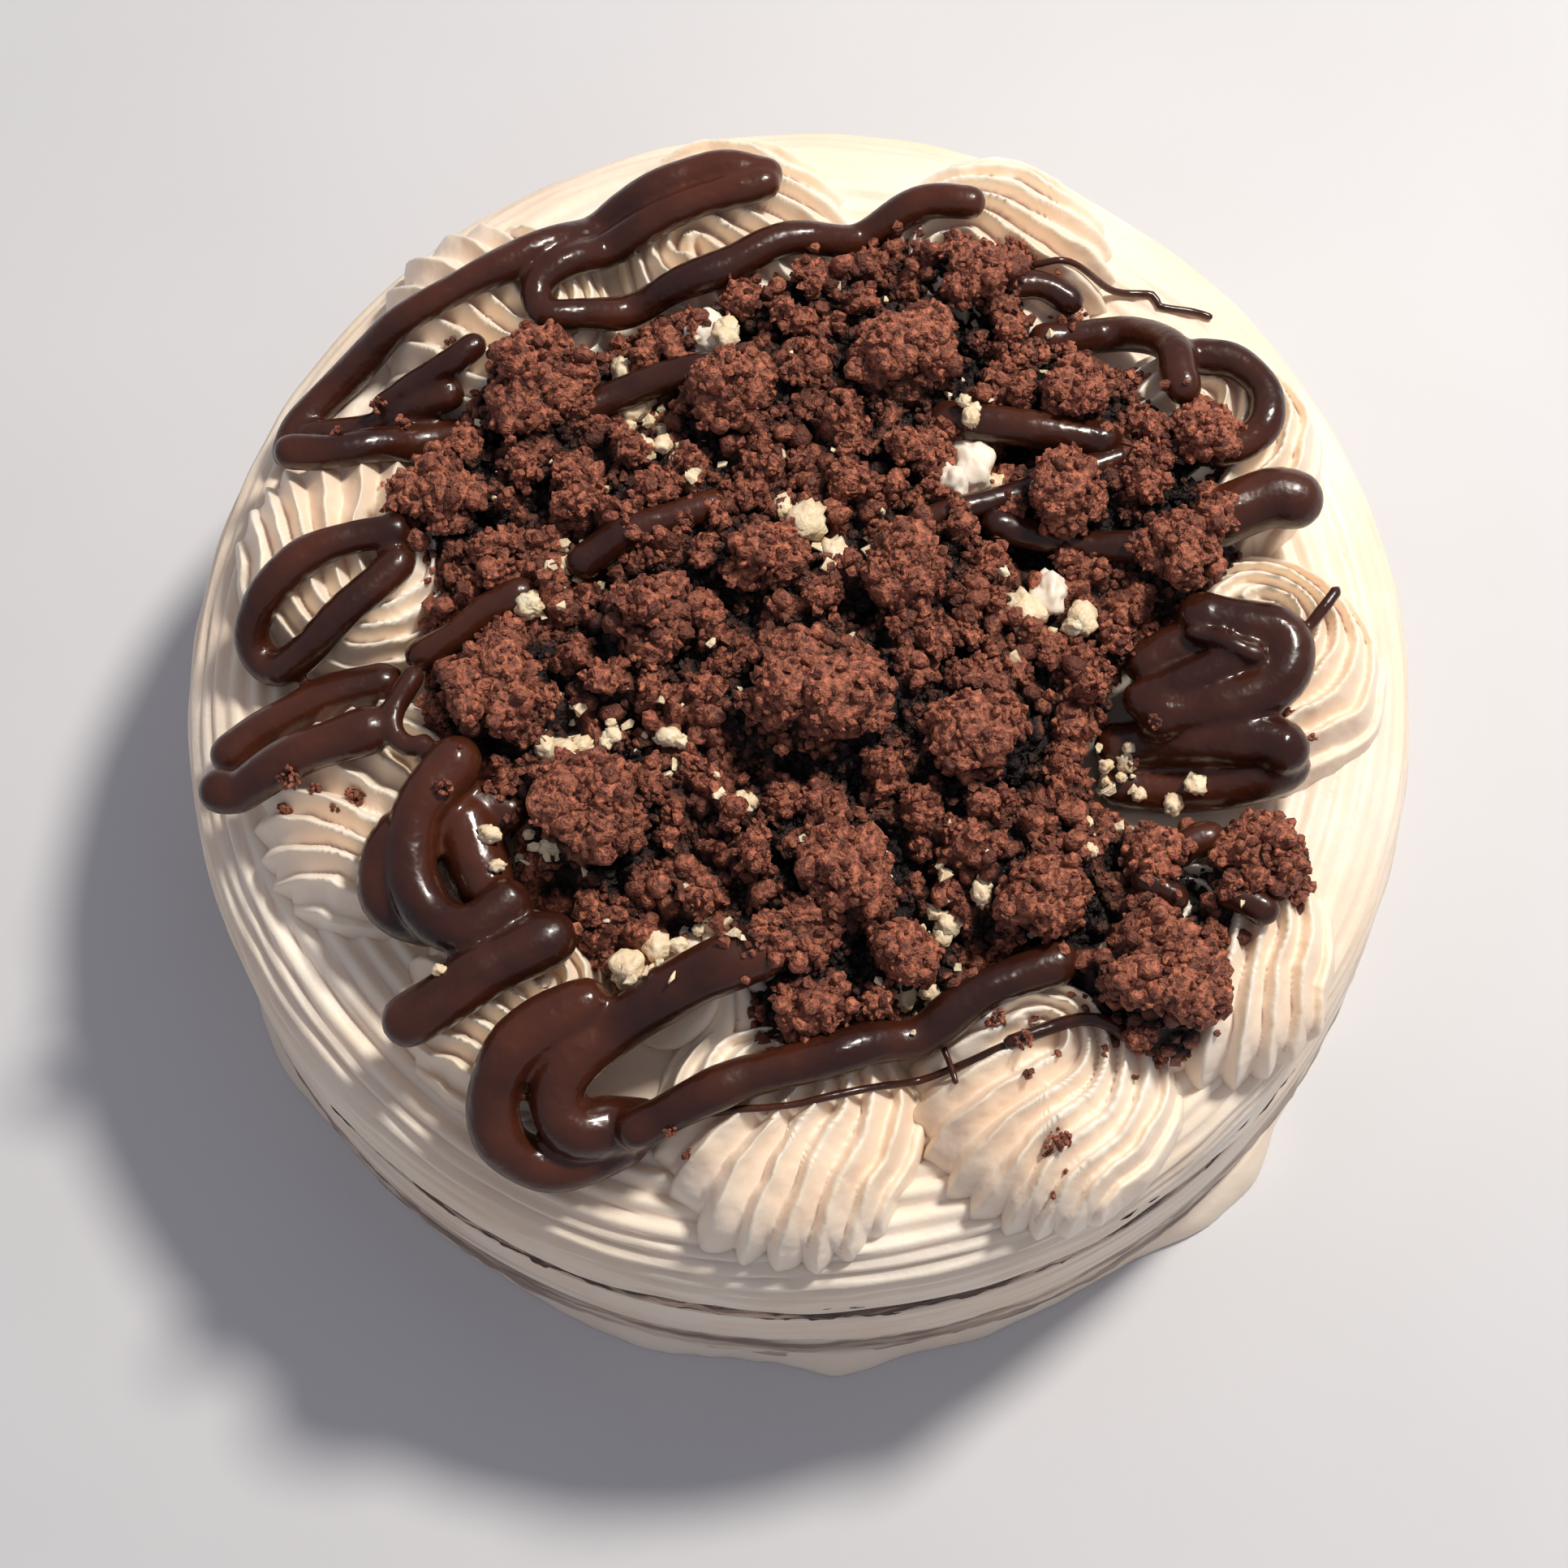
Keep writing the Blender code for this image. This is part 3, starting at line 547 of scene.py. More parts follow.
def streak_gap(angle):
    """How much of the dark sponge shows: broad at the left, a thin line elsewhere."""
    broad = bump_at(angle, 232, 30) + 0.8 * bump_at(angle, 120, 40)
    thin = 0.35 + 0.25 * ring_noise(angle, 0, 0.03, 40.0)
    return max(0.0, min(1.0, broad + thin + 0.5 * ring_noise(angle, 0, 0.012, 33.0)))


def top_rule(angle, radius, height):
    """Grooves round the shoulder, and a lower edge that leaves a streak of sponge bare."""
    if height < TOP_UNDERSIDE + 0.0001 and radius < CORE_RADIUS:
        return radius, height
    way = (radius - COMB_START) + max(0.0, COMB_TURN - height)
    drift = 0.55 * ring_noise(angle, 0, 0.045, 1.5)
    phase = way / COMB_PITCH + COMB_DRIFT * angle / math.tau + drift
    strength = 0.45 + 0.75 * bump_at(angle, 222, 45) + 0.50 * bump_at(angle, 275, 30)
    fade = min(1.0, max(0.0, (height - HEM) / COMB_FADE))
    crest = abs(math.sin(math.pi * phase)) - 0.65
    lift = COMB_DEPTH * crest * strength * fade
    lift += 0.0005 * ring_noise(angle, way * 300, 0.012, 6.0)
    outward = min(1.0, max(0.0, (PLATEAU - height) / COMB_FADE))
    new_radius = radius + lift * outward
    new_height = height + lift * (1 - outward)
    if height < HEM:
        hang = (HEM - height) / HEM_DEPTH
        new_height += hang * streak_gap(angle) * HEM_LIFT
        new_radius += 0.0003 * ring_noise(angle, height * 400, 0.03, 2.0)
    return new_radius, new_height


top = from_bmesh("top_cream", spin_line(shoulder_profile(), SHOULDER_STEPS))
shape_ring(top, top_rule, COMB_START)
dress(top, CREAM, "cream_top")
print("top cream points:", len(top.data.vertices))

# %% [markdown]
# ## Piped rosettes
# A wide star nozzle lays a ridged ribbon. The ribbon starts at the rim, where each ridge ends in
# a blunt tooth, runs straight for a moment, curls anticlockwise round a pole and ends on top of
# its own start. A sweep along that path folds over itself in so tight a curl. So each rosette
# is a spun dome instead, and one rule gives the ridges: straight before the pole, and nested
# arcs round it after.

# %% Rosettes
# Centre x and y, radius, heading in degrees of the ridges at the rim, and number of ridges
ROSETTES = [(-0.006, -0.073, 0.0215, 42, 7), (0.033, -0.070, 0.0215, 22, 8),
            (0.060, -0.050, 0.0205, 55, 7), (0.072, -0.006, 0.0205, 10, 7),
            (0.067, 0.031, 0.0200, 30, 7), (0.036, 0.066, 0.0205, 130, 7),
            (-0.006, 0.073, 0.0205, 130, 7), (-0.045, 0.060, 0.0205, 310, 7),
            (-0.069, 0.022, 0.0205, 260, 7), (-0.066, -0.020, 0.0205, 320, 7),
            (-0.047, -0.052, 0.0180, 305, 7)]
SWIRL_ROWS = 54
SWIRL_STEPS = 288
SWIRL_HEIGHT = 0.0104
SWIRL_FOOT = 0.0040
# The pole's place in a swirl of radius 1 whose ridges head along +y
POLE = Vector((-0.36, 0.16))
RIDGE_DEPTH = 0.0042
TOOTH_DEPTH = 0.13
LOOP_RISE = 0.0024
SEAM_WIDTH = 0.07
WELL_DEPTH = 0.0024
CREST = 0.36
FULL_LOOP = math.radians(241)
# How far below the flat top a swirl may reach
LOWEST = 0.0045


def swirl_disc():
    """A flat disc of radius 1, spun from a line whose points stand closer at the rim."""
    line = [(1 - (1 - row / SWIRL_ROWS) ** 1.5, 0) for row in range(SWIRL_ROWS + 1)]
    return spin_line(line, SWIRL_STEPS, 0.00001)


def rim_distance(turn):
    """From the pole to the rim, in the direction of an angle."""
    way = Vector((math.cos(turn), math.sin(turn)))
    along = POLE.dot(way)
    return -along + math.sqrt(along * along + 1 - POLE.length_squared)


def flat_noise(x, y, fineness, seed):
    """A noise over the plane."""
    return noise.noise(Vector((x * fineness, y * fineness, seed)))


def swirl_phase(x, y, ridges, seed):
    """Which ridge a point is on, how far round the loop, and the same on the straight start."""
    x += 0.060 * flat_noise(x, y, 2.2, seed)
    y += 0.060 * flat_noise(x, y, 2.2, seed + 9)
    away = Vector((x, y)) - POLE
    turn = math.atan2(away.y, away.x) % math.tau
    round_share = min(1.0, turn / FULL_LOOP)
    arc_phase = ridges * (1 - 0.42 * round_share) * away.length / rim_distance(turn) + 0.25 * round_share
    start_phase = ridges * away.x * (1 + 0.40 * away.y) / rim_distance(0.0)
    seam = 0.55 * away.y + 0.05 * math.sin(4 * away.y + seed)
    start_share = min(1.0, max(0.0, (away.x - seam) / SEAM_WIDTH)) if away.y < 0 else 0.0
    return arc_phase, round_share, start_phase, start_share


def ridge_at(phase):
    """A ridge's cross-section: a thin crest, steep on its inner side, hollow on its outer side."""
    share = phase % 1.0
    return (share / CREST) ** 0.85 if share < CREST else ((1 - share) / (1 - CREST)) ** 1.25


def swirl_relief(x, y, ridges, seed):
    """The ridges' height, 0 to 1, how far the loop has risen, and the straight start's share."""
    arc_phase, round_share, start_phase, start_share = swirl_phase(x, y, ridges, seed)
    ruffle = 0.09 * flat_noise(x, y, 6, seed + 3)
    arc = ridge_at(arc_phase + ruffle)
    start = ridge_at(start_phase + ruffle)
    return arc + (start - arc) * start_share, round_share * (1 - start_share), start_share


def swirl_rule(x, y, ridges, seed):
    """Where a point of the disc of radius 1 goes, the dome's height there and the relief on it."""
    radius = math.hypot(x, y)
    if radius > 0.3:
        ridge, _, start_share = swirl_relief(x / radius * 0.97, y / radius * 0.97, ridges, seed)
        across = 0.30 + 0.70 * max(0.0, -y / radius) * start_share
        bite = TOOTH_DEPTH * (1 - ridge ** 0.5) * 1.2 * across
        bite += 0.05 * noise.noise(Vector((x / radius * 2, y / radius * 2, seed)))
        rim = min(1.0, radius) ** 6
        x, y = x * (1 - bite * rim), y * (1 - bite * rim)
    ridge, risen, _ = swirl_relief(x, y, ridges, seed)
    ridge *= 1 + 0.16 * flat_noise(x, y, 5, seed + 20)
    dome = (1 - min(1.0, radius) ** 3.4) ** 0.6
    well = math.exp(-((Vector((x, y)) - POLE).length / 0.16) ** 2)
    lift = LOOP_RISE * risen * dome - WELL_DEPTH * well
    return x, y, dome, lift + RIDGE_DEPTH * (ridge - 0.60) * (0.45 + 0.55 * dome)


def pipe_rosette(index, disc):
    cx, cy, size, heading, ridges = ROSETTES[index]
    bm = disc.copy()
    turn = Matrix.Rotation(math.radians(heading - 90), 2)
    for vert in bm.verts:
        x, y, dome, relief = swirl_rule(vert.co.x, vert.co.y, ridges, index * 5.3)
        place = turn @ Vector((x, y)) * size
        height = -SWIRL_FOOT + (SWIRL_HEIGHT + SWIRL_FOOT) * dome + relief
        vert.co = (cx + place.x, cy + place.y, PLATEAU + height)
    rims = [edge for edge in bm.edges if edge.is_boundary]
    bmesh.ops.holes_fill(bm, edges=rims, sides=0)
    soften(bm, 0.0003, 0.00009)
    return from_bmesh(f"rosette_{index + 1}", bm)


def soften(bm, slow_size, quick_size):
    """Small unevenness, as soft cream tears and settles a little after piping."""
    for vert in bm.verts:
        slow = noise.noise_vector(vert.co * 150)
        quick = noise.noise_vector(vert.co * 700)
        vert.co += slow * slow_size + quick * quick_size
        vert.co.z = max(vert.co.z, PLATEAU - LOWEST)


disc = swirl_disc()
rosettes = [pipe_rosette(index, disc) for index in range(len(ROSETTES))]
disc.free()
for rosette in rosettes:
    dress(rosette, CREAM, "cream_top")
print("rosette faces:", sum(len(rosette.data.polygons) for rosette in rosettes))

# %% [markdown]
# One swirl near the front was piped straight up instead: its flutes rise to a peak. A spun
# profile, pulled in along each groove and twisted towards the top, has that shape.

# %% The upright swirl
# Centre x and y, and radius
KISS = (-0.014, -0.050, 0.0160)
KISS_ROWS = 26
KISS_FLUTES = 13
KISS_HEIGHT = 0.0170
KISS_TWIST = math.radians(60)


def pipe_kiss():
    cx, cy, size = KISS
    profile = [(size * math.sin(math.pi / 2 * row / KISS_ROWS) ** 1.25,
                KISS_HEIGHT * (1 - row / KISS_ROWS)) for row in range(KISS_ROWS + 1)]
    bm = spin_line(profile, KISS_FLUTES * 10)
    for vert in bm.verts:
        radius = math.hypot(vert.co.x, vert.co.y)
        if radius < 0.0001:
            continue
        angle = math.atan2(vert.co.y, vert.co.x)
        flute = abs(math.sin(KISS_FLUTES * angle / 2)) ** 0.8
        angle += KISS_TWIST * vert.co.z / KISS_HEIGHT
        radius *= 0.70 + 0.30 * flute
        vert.co.x = radius * math.cos(angle)
        vert.co.y = radius * math.sin(angle)
    bmesh.ops.translate(bm, verts=bm.verts, vec=(cx, cy, PLATEAU - 0.001))
    soften(bm, 0.0005, 0.0001)
    return from_bmesh("upright_swirl", bm)


kiss = pipe_kiss()
dress(kiss, CREAM, "cream_top")
print("swirl stands", KISS_HEIGHT, "m high")

# %% [markdown]
# ## What lies under a point
# Ganache, crumbs and nuts fall on what is there. A tree of the finished surfaces answers how
# high the food stands under a point, so nothing floats and nothing sinks out of sight.


# %% Ground
DROP_HEIGHT = 0.2
QUARTER_TURNS = (0.0, 1.57, 3.14, 4.71)


class Ground:
    """The height of the food so far, asked from above."""

    def __init__(self):
        self.trees = []

    def add(self, obj):
        bm = bmesh.new()
        bm.from_mesh(obj.data)
        self.trees.append(BVHTree.FromBMesh(bm))
        bm.free()

    def height(self, x, y):
        best = 0.0
        for tree in self.trees:
            hit = tree.ray_cast(Vector((x, y, DROP_HEIGHT)), Vector((0, 0, -1)))[0]
            if hit is not None:
                best = max(best, hit.z)
        return best

    def high_spot(self, x, y, radius):
        """Half way from the mean to the highest round a point: what a soft rope settles on."""
        around = [self.height(x + radius * math.cos(turn), y + radius * math.sin(turn))
                  for turn in QUARTER_TURNS]
        own = self.height(x, y)
        return max(own, sum(around) / 4) * 0.5 + max(around + [own]) * 0.5


ground = Ground()
ground.add(top)
for rosette in rosettes:
    ground.add(rosette)
ground.add(kiss)
print("height on the front rosette:", round(ground.height(-0.006, -0.073), 4))

# %% [markdown]
# ## Ganache ropes
# Ganache was piped from a bag in a zigzag that folds back at the cake's rim. Its ropes are
# round, sag into hollows and end in soft blunt tips. Each one here is a curve with a round
# bevel. Its route is given by a few points, read off as a smooth line, and laid on the ground.
# Where warm ropes cross they run together, so one skin is then drawn over them all.

# %% Routes of the ganache
# Radius, lift over what lies below, and the route's x and y
ROPES = {
    "back_outer": (0.0028, 0.0, [
        (0.0000, 0.0795), (-0.0085, 0.0810), (-0.0220, 0.0770), (-0.0295, 0.0730), (-0.0420, 0.0665),
        (-0.0540, 0.0610), (-0.0640, 0.0565), (-0.0715, 0.0520), (-0.0775, 0.0465),
        (-0.0795, 0.0420)]),
    "back_return": (0.0029, 0.0006, [
        (-0.0775, 0.0380), (-0.0700, 0.0375), (-0.0605, 0.0395), (-0.0510, 0.0410),
        (-0.0435, 0.0385), (-0.0385, 0.0390)]),
    "back_fold": (0.0026, 0.0, [
        (-0.0755, 0.0435), (-0.0655, 0.0445), (-0.0605, 0.0450), (-0.0565, 0.0460),
        (-0.0525, 0.0465)]),
    "back_middle": (0.0022, 0.0, [
        (-0.0630, 0.0470), (-0.0590, 0.0485), (-0.0550, 0.0495), (-0.0510, 0.0510),
        (-0.0480, 0.0530)]),
    "back_inner": (0.0028, 0.0, [
        (-0.0005, 0.0775), (-0.0135, 0.0745), (-0.0250, 0.0700), (-0.0305, 0.0675),
        (-0.0350, 0.0650), (-0.0375, 0.0625), (-0.0375, 0.0595), (-0.0365, 0.0575),
        (-0.0310, 0.0575), (-0.0185, 0.0605), (-0.0080, 0.0635), (0.0020, 0.0680), (0.0120, 0.0690),
        (0.0240, 0.0730), (0.0320, 0.0720)]),
    "right_hook_inner": (0.0029, 0.0006, [
        (0.0430, 0.0500), (0.0475, 0.0505), (0.0515, 0.0515), (0.0555, 0.0515), (0.0590, 0.0495),
        (0.0615, 0.0465), (0.0625, 0.0435), (0.0625, 0.0400), (0.0630, 0.0375)]),
    "right_hook_outer": (0.0029, 0.0, [
        (0.0665, 0.0440), (0.0710, 0.0430), (0.0740, 0.0405), (0.0760, 0.0370), (0.0760, 0.0335),
        (0.0750, 0.0305), (0.0715, 0.0280), (0.0680, 0.0275)]),
    "right_end": (0.0048, 0.0, [
        (0.0665, 0.0160), (0.0700, 0.0175), (0.0750, 0.0190), (0.0785, 0.0185)]),
    "left_hook": (0.0029, 0.0, [
        (-0.0615, 0.0225), (-0.0680, 0.0215), (-0.0745, 0.0195), (-0.0795, 0.0160),
        (-0.0835, 0.0120), (-0.0850, 0.0085), (-0.0830, 0.0050), (-0.0795, 0.0040),
        (-0.0745, 0.0060), (-0.0695, 0.0100), (-0.0645, 0.0140), (-0.0610, 0.0175)]),
    "left_fold_under": (0.0034, 0.0, [
        (-0.0645, 0.0000), (-0.0715, -0.0010), (-0.0780, -0.0035), (-0.0845, -0.0060),
        (-0.0890, -0.0090)]),
    "left_fold_over": (0.0037, 0.0006, [
        (-0.0655, -0.0100), (-0.0710, -0.0115), (-0.0770, -0.0130), (-0.0830, -0.0155),
        (-0.0870, -0.0170), (-0.0895, -0.0165)]),
    "left_tail": (0.0018, 0.0030, [
        (-0.0590, -0.0015), (-0.0605, -0.0045), (-0.0620, -0.0080), (-0.0620, -0.0110),
        (-0.0600, -0.0135), (-0.0575, -0.0135)]),
    "loop_over": (0.0040, 0.0024, [
        (-0.0525, -0.0165), (-0.0580, -0.0230), (-0.0595, -0.0275), (-0.0600, -0.0325),
        (-0.0590, -0.0365), (-0.0565, -0.0405), (-0.0525, -0.0425), (-0.0490, -0.0415),
        (-0.0460, -0.0390)]),
    "loop_under": (0.0040, 0.0, [
        (-0.0610, -0.0265), (-0.0635, -0.0295), (-0.0645, -0.0325), (-0.0645, -0.0360),
        (-0.0620, -0.0385), (-0.0590, -0.0395)]),
    "loop_pool": (0.0050, -0.0010, [
        (-0.0525, -0.0245), (-0.0510, -0.0290), (-0.0495, -0.0340)]),
    "loop_top": (0.0030, 0.0, [
        (-0.0515, -0.0210), (-0.0480, -0.0220), (-0.0450, -0.0235)]),
    "front_left_end": (0.0042, 0.0, [
        (-0.0395, -0.0445), (-0.0440, -0.0465), (-0.0500, -0.0490), (-0.0545, -0.0520),
        (-0.0590, -0.0545), (-0.0610, -0.0555)]),
    "front_inner": (0.0044, 0.0024, [
        (-0.0080, -0.0495), (-0.0185, -0.0530), (-0.0270, -0.0565), (-0.0320, -0.0590),
        (-0.0365, -0.0620), (-0.0395, -0.0660), (-0.0395, -0.0700), (-0.0370, -0.0725),
        (-0.0325, -0.0720), (-0.0285, -0.0720)]),
    "front_outer": (0.0042, 0.0, [
        (-0.0350, -0.0550), (-0.0410, -0.0575), (-0.0455, -0.0605), (-0.0485, -0.0650),
        (-0.0495, -0.0695), (-0.0485, -0.0735), (-0.0450, -0.0760), (-0.0405, -0.0770),
        (-0.0355, -0.0760), (-0.0305, -0.0735)]),
    "front_long": (0.0033, 0.0008, [
        (-0.0280, -0.0735), (-0.0140, -0.0680), (-0.0075, -0.0665), (0.0005, -0.0650),
        (0.0080, -0.0630), (0.0150, -0.0620), (0.0240, -0.0565), (0.0360, -0.0525)]),
    "lobe_round": (0.0042, 0.0, [
        (0.0550, -0.0150), (0.0605, -0.0145), (0.0660, -0.0140), (0.0710, -0.0125),
        (0.0740, -0.0100), (0.0750, -0.0060), (0.0735, -0.0035), (0.0695, -0.0025),
        (0.0660, -0.0015), (0.0625, -0.0005)]),
    "lobe_over": (0.0030, 0.0026, [
        (0.0520, -0.0125), (0.0570, -0.0110), (0.0620, -0.0095), (0.0660, -0.0075),
        (0.0690, -0.0070)]),
    "lobe_side": (0.0034, 0.0004, [
        (0.0535, -0.0065), (0.0575, -0.0045), (0.0615, -0.0035)]),
    "lobe_middle": (0.0041, 0.0002, [
        (0.0490, -0.0175), (0.0550, -0.0175), (0.0605, -0.0185), (0.0660, -0.0195),
        (0.0705, -0.0200), (0.0730, -0.0215)]),
    "lobe_lower": (0.0040, 0.0, [
        (0.0490, -0.0230), (0.0545, -0.0240), (0.0605, -0.0245), (0.0660, -0.0245),
        (0.0705, -0.0240), (0.0735, -0.0230)]),
    "stick": (0.0010, 0.0016, [
        (0.0780, -0.0030), (0.0810, 0.0000), (0.0835, 0.0030)]),
    "flap": (0.0014, 0.0062, [
        (0.0605, -0.0035), (0.0640, -0.0050), (0.0670, -0.0070), (0.0695, -0.0080)]),
    "lip": (0.0010, 0.0050, [
        (0.0625, 0.0010), (0.0655, 0.0000), (0.0685, -0.0015), (0.0715, -0.0035), (0.0740, -0.0060)]),
    "bit_1": (0.0026, 0.0004, [
        (0.0555, -0.0365), (0.0580, -0.0350), (0.0605, -0.0345)]),
    "bit_2": (0.0028, 0.0, [
        (0.0630, -0.0440), (0.0650, -0.0450), (0.0670, -0.0465)]),
    "bit_3": (0.0024, 0.0004, [
        (0.0500, -0.0410), (0.0520, -0.0425), (0.0540, -0.0440)]),
}
THREADS = {
    "front_thread": (0.0006, 0.0, [
        (-0.0170, -0.0715), (-0.0060, -0.0715), (0.0035, -0.0700), (0.0135, -0.0680),
        (0.0215, -0.0660), (0.0280, -0.0640)]),
    "front_thread_end": (0.0011, 0.0, [
        (0.0280, -0.0640), (0.0360, -0.0615), (0.0410, -0.0615), (0.0465, -0.0645)]),
    "front_drip": (0.0005, 0.0, [
        (0.0180, -0.0630), (0.0190, -0.0665), (0.0195, -0.0690)]),
    "back_thread": (0.0006, 0.0, [
        (0.0420, 0.0620), (0.0475, 0.0620), (0.0540, 0.0605), (0.0615, 0.0600),
        (0.0625, 0.0580), (0.0680, 0.0570), (0.0705, 0.0560)]),
}
print("routes:", len(ROPES), "ropes and", len(THREADS), "threads")

# %% How a rope lies
# Share of its radius by which a rope or a thread sinks in
ROPE_BITE = 0.30
THREAD_BITE = 0.2
ROPE_STEP = 0.0012
ROPE_SIDES = 7
THREAD_SIDES = 3
ROPE_SWELL = 0.16
# A rope's size at the last points of a blunt end and of a fine one
BLUNT_END = [0.10, 0.45, 0.72, 0.90]
FINE_END = [0.3, 0.7]
ROPE_MERGE = 0.000005
SKIN_CELL = 0.0006


def smooth_route(points, step):
    """A Catmull-Rom line through the points, with even steps."""
    ends = [Vector(points[0]) * 2 - Vector(points[1])] + [Vector(point) for point in points]
    ends.append(Vector(points[-1]) * 2 - Vector(points[-2]))
    line = []
    for p0, p1, p2, p3 in zip(ends, ends[1:], ends[2:], ends[3:]):
        count = max(2, round((p2 - p1).length / step))
        for index in range(count):
            t = index / count
            line.append(0.5 * ((2 * p1) + (p2 - p0) * t + (2 * p0 - 5 * p1 + 4 * p2 - p3) * t * t
                               + (3 * p1 - p0 - 3 * p2 + p3) * t ** 3))
    line.append(Vector(points[-1]))
    return line


def settled_heights(line, radius, lift, bite):
    """A soft rope bridges gaps narrower than itself: the raw ground, widened and smoothed."""
    raw = [ground.high_spot(point.x, point.y, radius * 0.6) for point in line]
    reach = max(1, round(radius / ROPE_STEP))
    high = [max(raw[max(0, i - reach):i + reach + 1]) for i in range(len(raw))]
    for _ in range(3):
        windows = [high[max(0, i - reach):i + reach + 1] for i in range(len(high))]
        high = [sum(window) / len(window) for window in windows]
    return [value + radius * (1 - bite) + lift for value in high]


def curve_to_bmesh(obj, bm):
    """Add a curve's swept surface to a bmesh and remove the curve."""
    evaluated = obj.evaluated_get(bpy.context.evaluated_depsgraph_get())
    mesh = bpy.data.meshes.new_from_object(evaluated)
    bm.from_mesh(mesh)
    bpy.data.meshes.remove(mesh)
    data = obj.data
    bpy.data.objects.remove(obj)
    bpy.data.curves.remove(data)


def round_end(tip, before, radius, size):
    """A point past a rope's tip, where the end has shrunk to a share of its radius."""
    away = (tip - before).normalized()
    return tip + away * radius * (1 - size ** 2) ** 0.5


def sweep_rope(bm, radius, line, heights, sides, seed, caps):
    """A bevelled curve along the line, whose ends are round."""
    curve = bpy.data.curves.new("rope", "CURVE")
    curve.dimensions = "3D"
    curve.bevel_depth = radius
    curve.bevel_resolution = sides
    curve.use_fill_caps = True
    count = len(line) + 2 * len(caps)
    spline = curve.splines.new("POLY")
    spline.points.add(count - 1)
    for index in range(count):
        inner = min(max(index - len(caps), 0), len(line) - 1)
        point = line[inner]
        size = 1 + ROPE_SWELL * noise.noise(Vector((inner * 0.14, seed, radius * 900)))
        if index < len(caps):
            size = caps[index]
            point = round_end(line[0], line[1], radius, size)
        elif index >= count - len(caps):
            size = caps[count - 1 - index]
            point = round_end(line[-1], line[-2], radius, size)
        spline.points[index].co = (point.x, point.y, heights[inner], 1)
        spline.points[index].radius = size
    obj = bpy.data.objects.new("rope", curve)
    bpy.context.scene.collection.objects.link(obj)
    curve_to_bmesh(obj, bm)


# %% Lay the ganache
def lay_ropes(name, routes, seed_step, sides, bite, caps):
    """Every rope of a set, settled on the ground along its route."""
    bm = bmesh.new()
    for number, (radius, lift, points) in enumerate(routes.values()):
        line = smooth_route(points, ROPE_STEP)
        heights = settled_heights(line, radius, lift, bite)
        sweep_rope(bm, radius, line, heights, sides, number * seed_step, caps)
    bmesh.ops.remove_doubles(bm, verts=bm.verts, dist=ROPE_MERGE)
    return from_bmesh(name, bm)


def melted(obj):
    """Ropes that cross run together: one skin over them all, then a light smoothing."""
    skin = obj.modifiers.new("skin", "REMESH")
    skin.mode = "VOXEL"
    skin.voxel_size = SKIN_CELL
    soft = obj.modifiers.new("soft", "SMOOTH")
    soft.factor = 0.5
    soft.iterations = 2
    evaluated = obj.evaluated_get(bpy.context.evaluated_depsgraph_get())
    mesh = bpy.data.meshes.new_from_object(evaluated)
    obj.modifiers.clear()
    obj.data = mesh
    mesh.shade_smooth()
    return obj


ganache = melted(lay_ropes("ganache", ROPES, 1.7, ROPE_SIDES, ROPE_BITE, BLUNT_END))
# Threads that trailed from the bag are too fine for the skin
threads = lay_ropes("ganache_threads", THREADS, 2.9, THREAD_SIDES, THREAD_BITE, FINE_END)
for piece in (ganache, threads):
    dress(piece, GANACHE, "cream_top")
ground.add(ganache)
print("ganache faces:", len(ganache.data.polygons), "and", len(threads.data.polygons))

# %% [markdown]
# ## Crumble
# The heap is chocolate cake rubbed to crumbs, with some crumbs pressed into clumps. Close up,
# every surface is covered with grains about a millimetre across. A smooth height map would
# look like mud, so a dark rough bed fills the heap and thousands of small angular grains,
# joined into one mesh per kind, cover the bed and the clumps.

# %% Places in the heap
HEAP_OUTLINE = [
    (0.056, 0.001), (0.066, 0.005), (0.070, 0.012), (0.067, 0.020), (0.072, 0.030), (0.070, 0.035),
    (0.061, 0.036), (0.058, 0.043), (0.050, 0.046), (0.047, 0.050), (0.050, 0.055), (0.047, 0.061),
    (0.040, 0.066), (0.031, 0.0675), (0.022, 0.0700), (0.013, 0.068), (0.004, 0.065), (-0.006, 0.0615),
    (-0.018, 0.0565), (-0.030, 0.053), (-0.040, 0.055), (-0.047, 0.050), (-0.051, 0.043),
    (-0.054, 0.036), (-0.062, 0.034), (-0.065, 0.028), (-0.059, 0.023), (-0.056, 0.013),
    (-0.058, 0.005), (-0.057, -0.008), (-0.052, -0.015), (-0.046, -0.023), (-0.044, -0.036),
    (-0.036, -0.045), (-0.031, -0.051), (-0.020, -0.048), (-0.010, -0.050), (-0.011, -0.057),
    (-0.007, -0.0625), (0.000, -0.0625), (0.008, -0.060), (0.019, -0.0565), (0.028, -0.052),
    (0.035, -0.050), (0.039, -0.058), (0.044, -0.065), (0.052, -0.068), (0.060, -0.063),
    (0.062, -0.053), (0.067, -0.047), (0.074, -0.045), (0.0765, -0.038), (0.072, -0.032),
    (0.060, -0.0305), (0.050, -0.031), (0.043, -0.027), (0.044, -0.017), (0.048, -0.010)
]
HEAP_CENTRE = Vector((0.004, 0.004))
HEAP_EDGE = 0.0750
HEAP_RISE = 0.0065
HEAP_REACH = 0.062
LUMP_HEIGHT = 0.0026
LUMP_LENGTH = 0.013
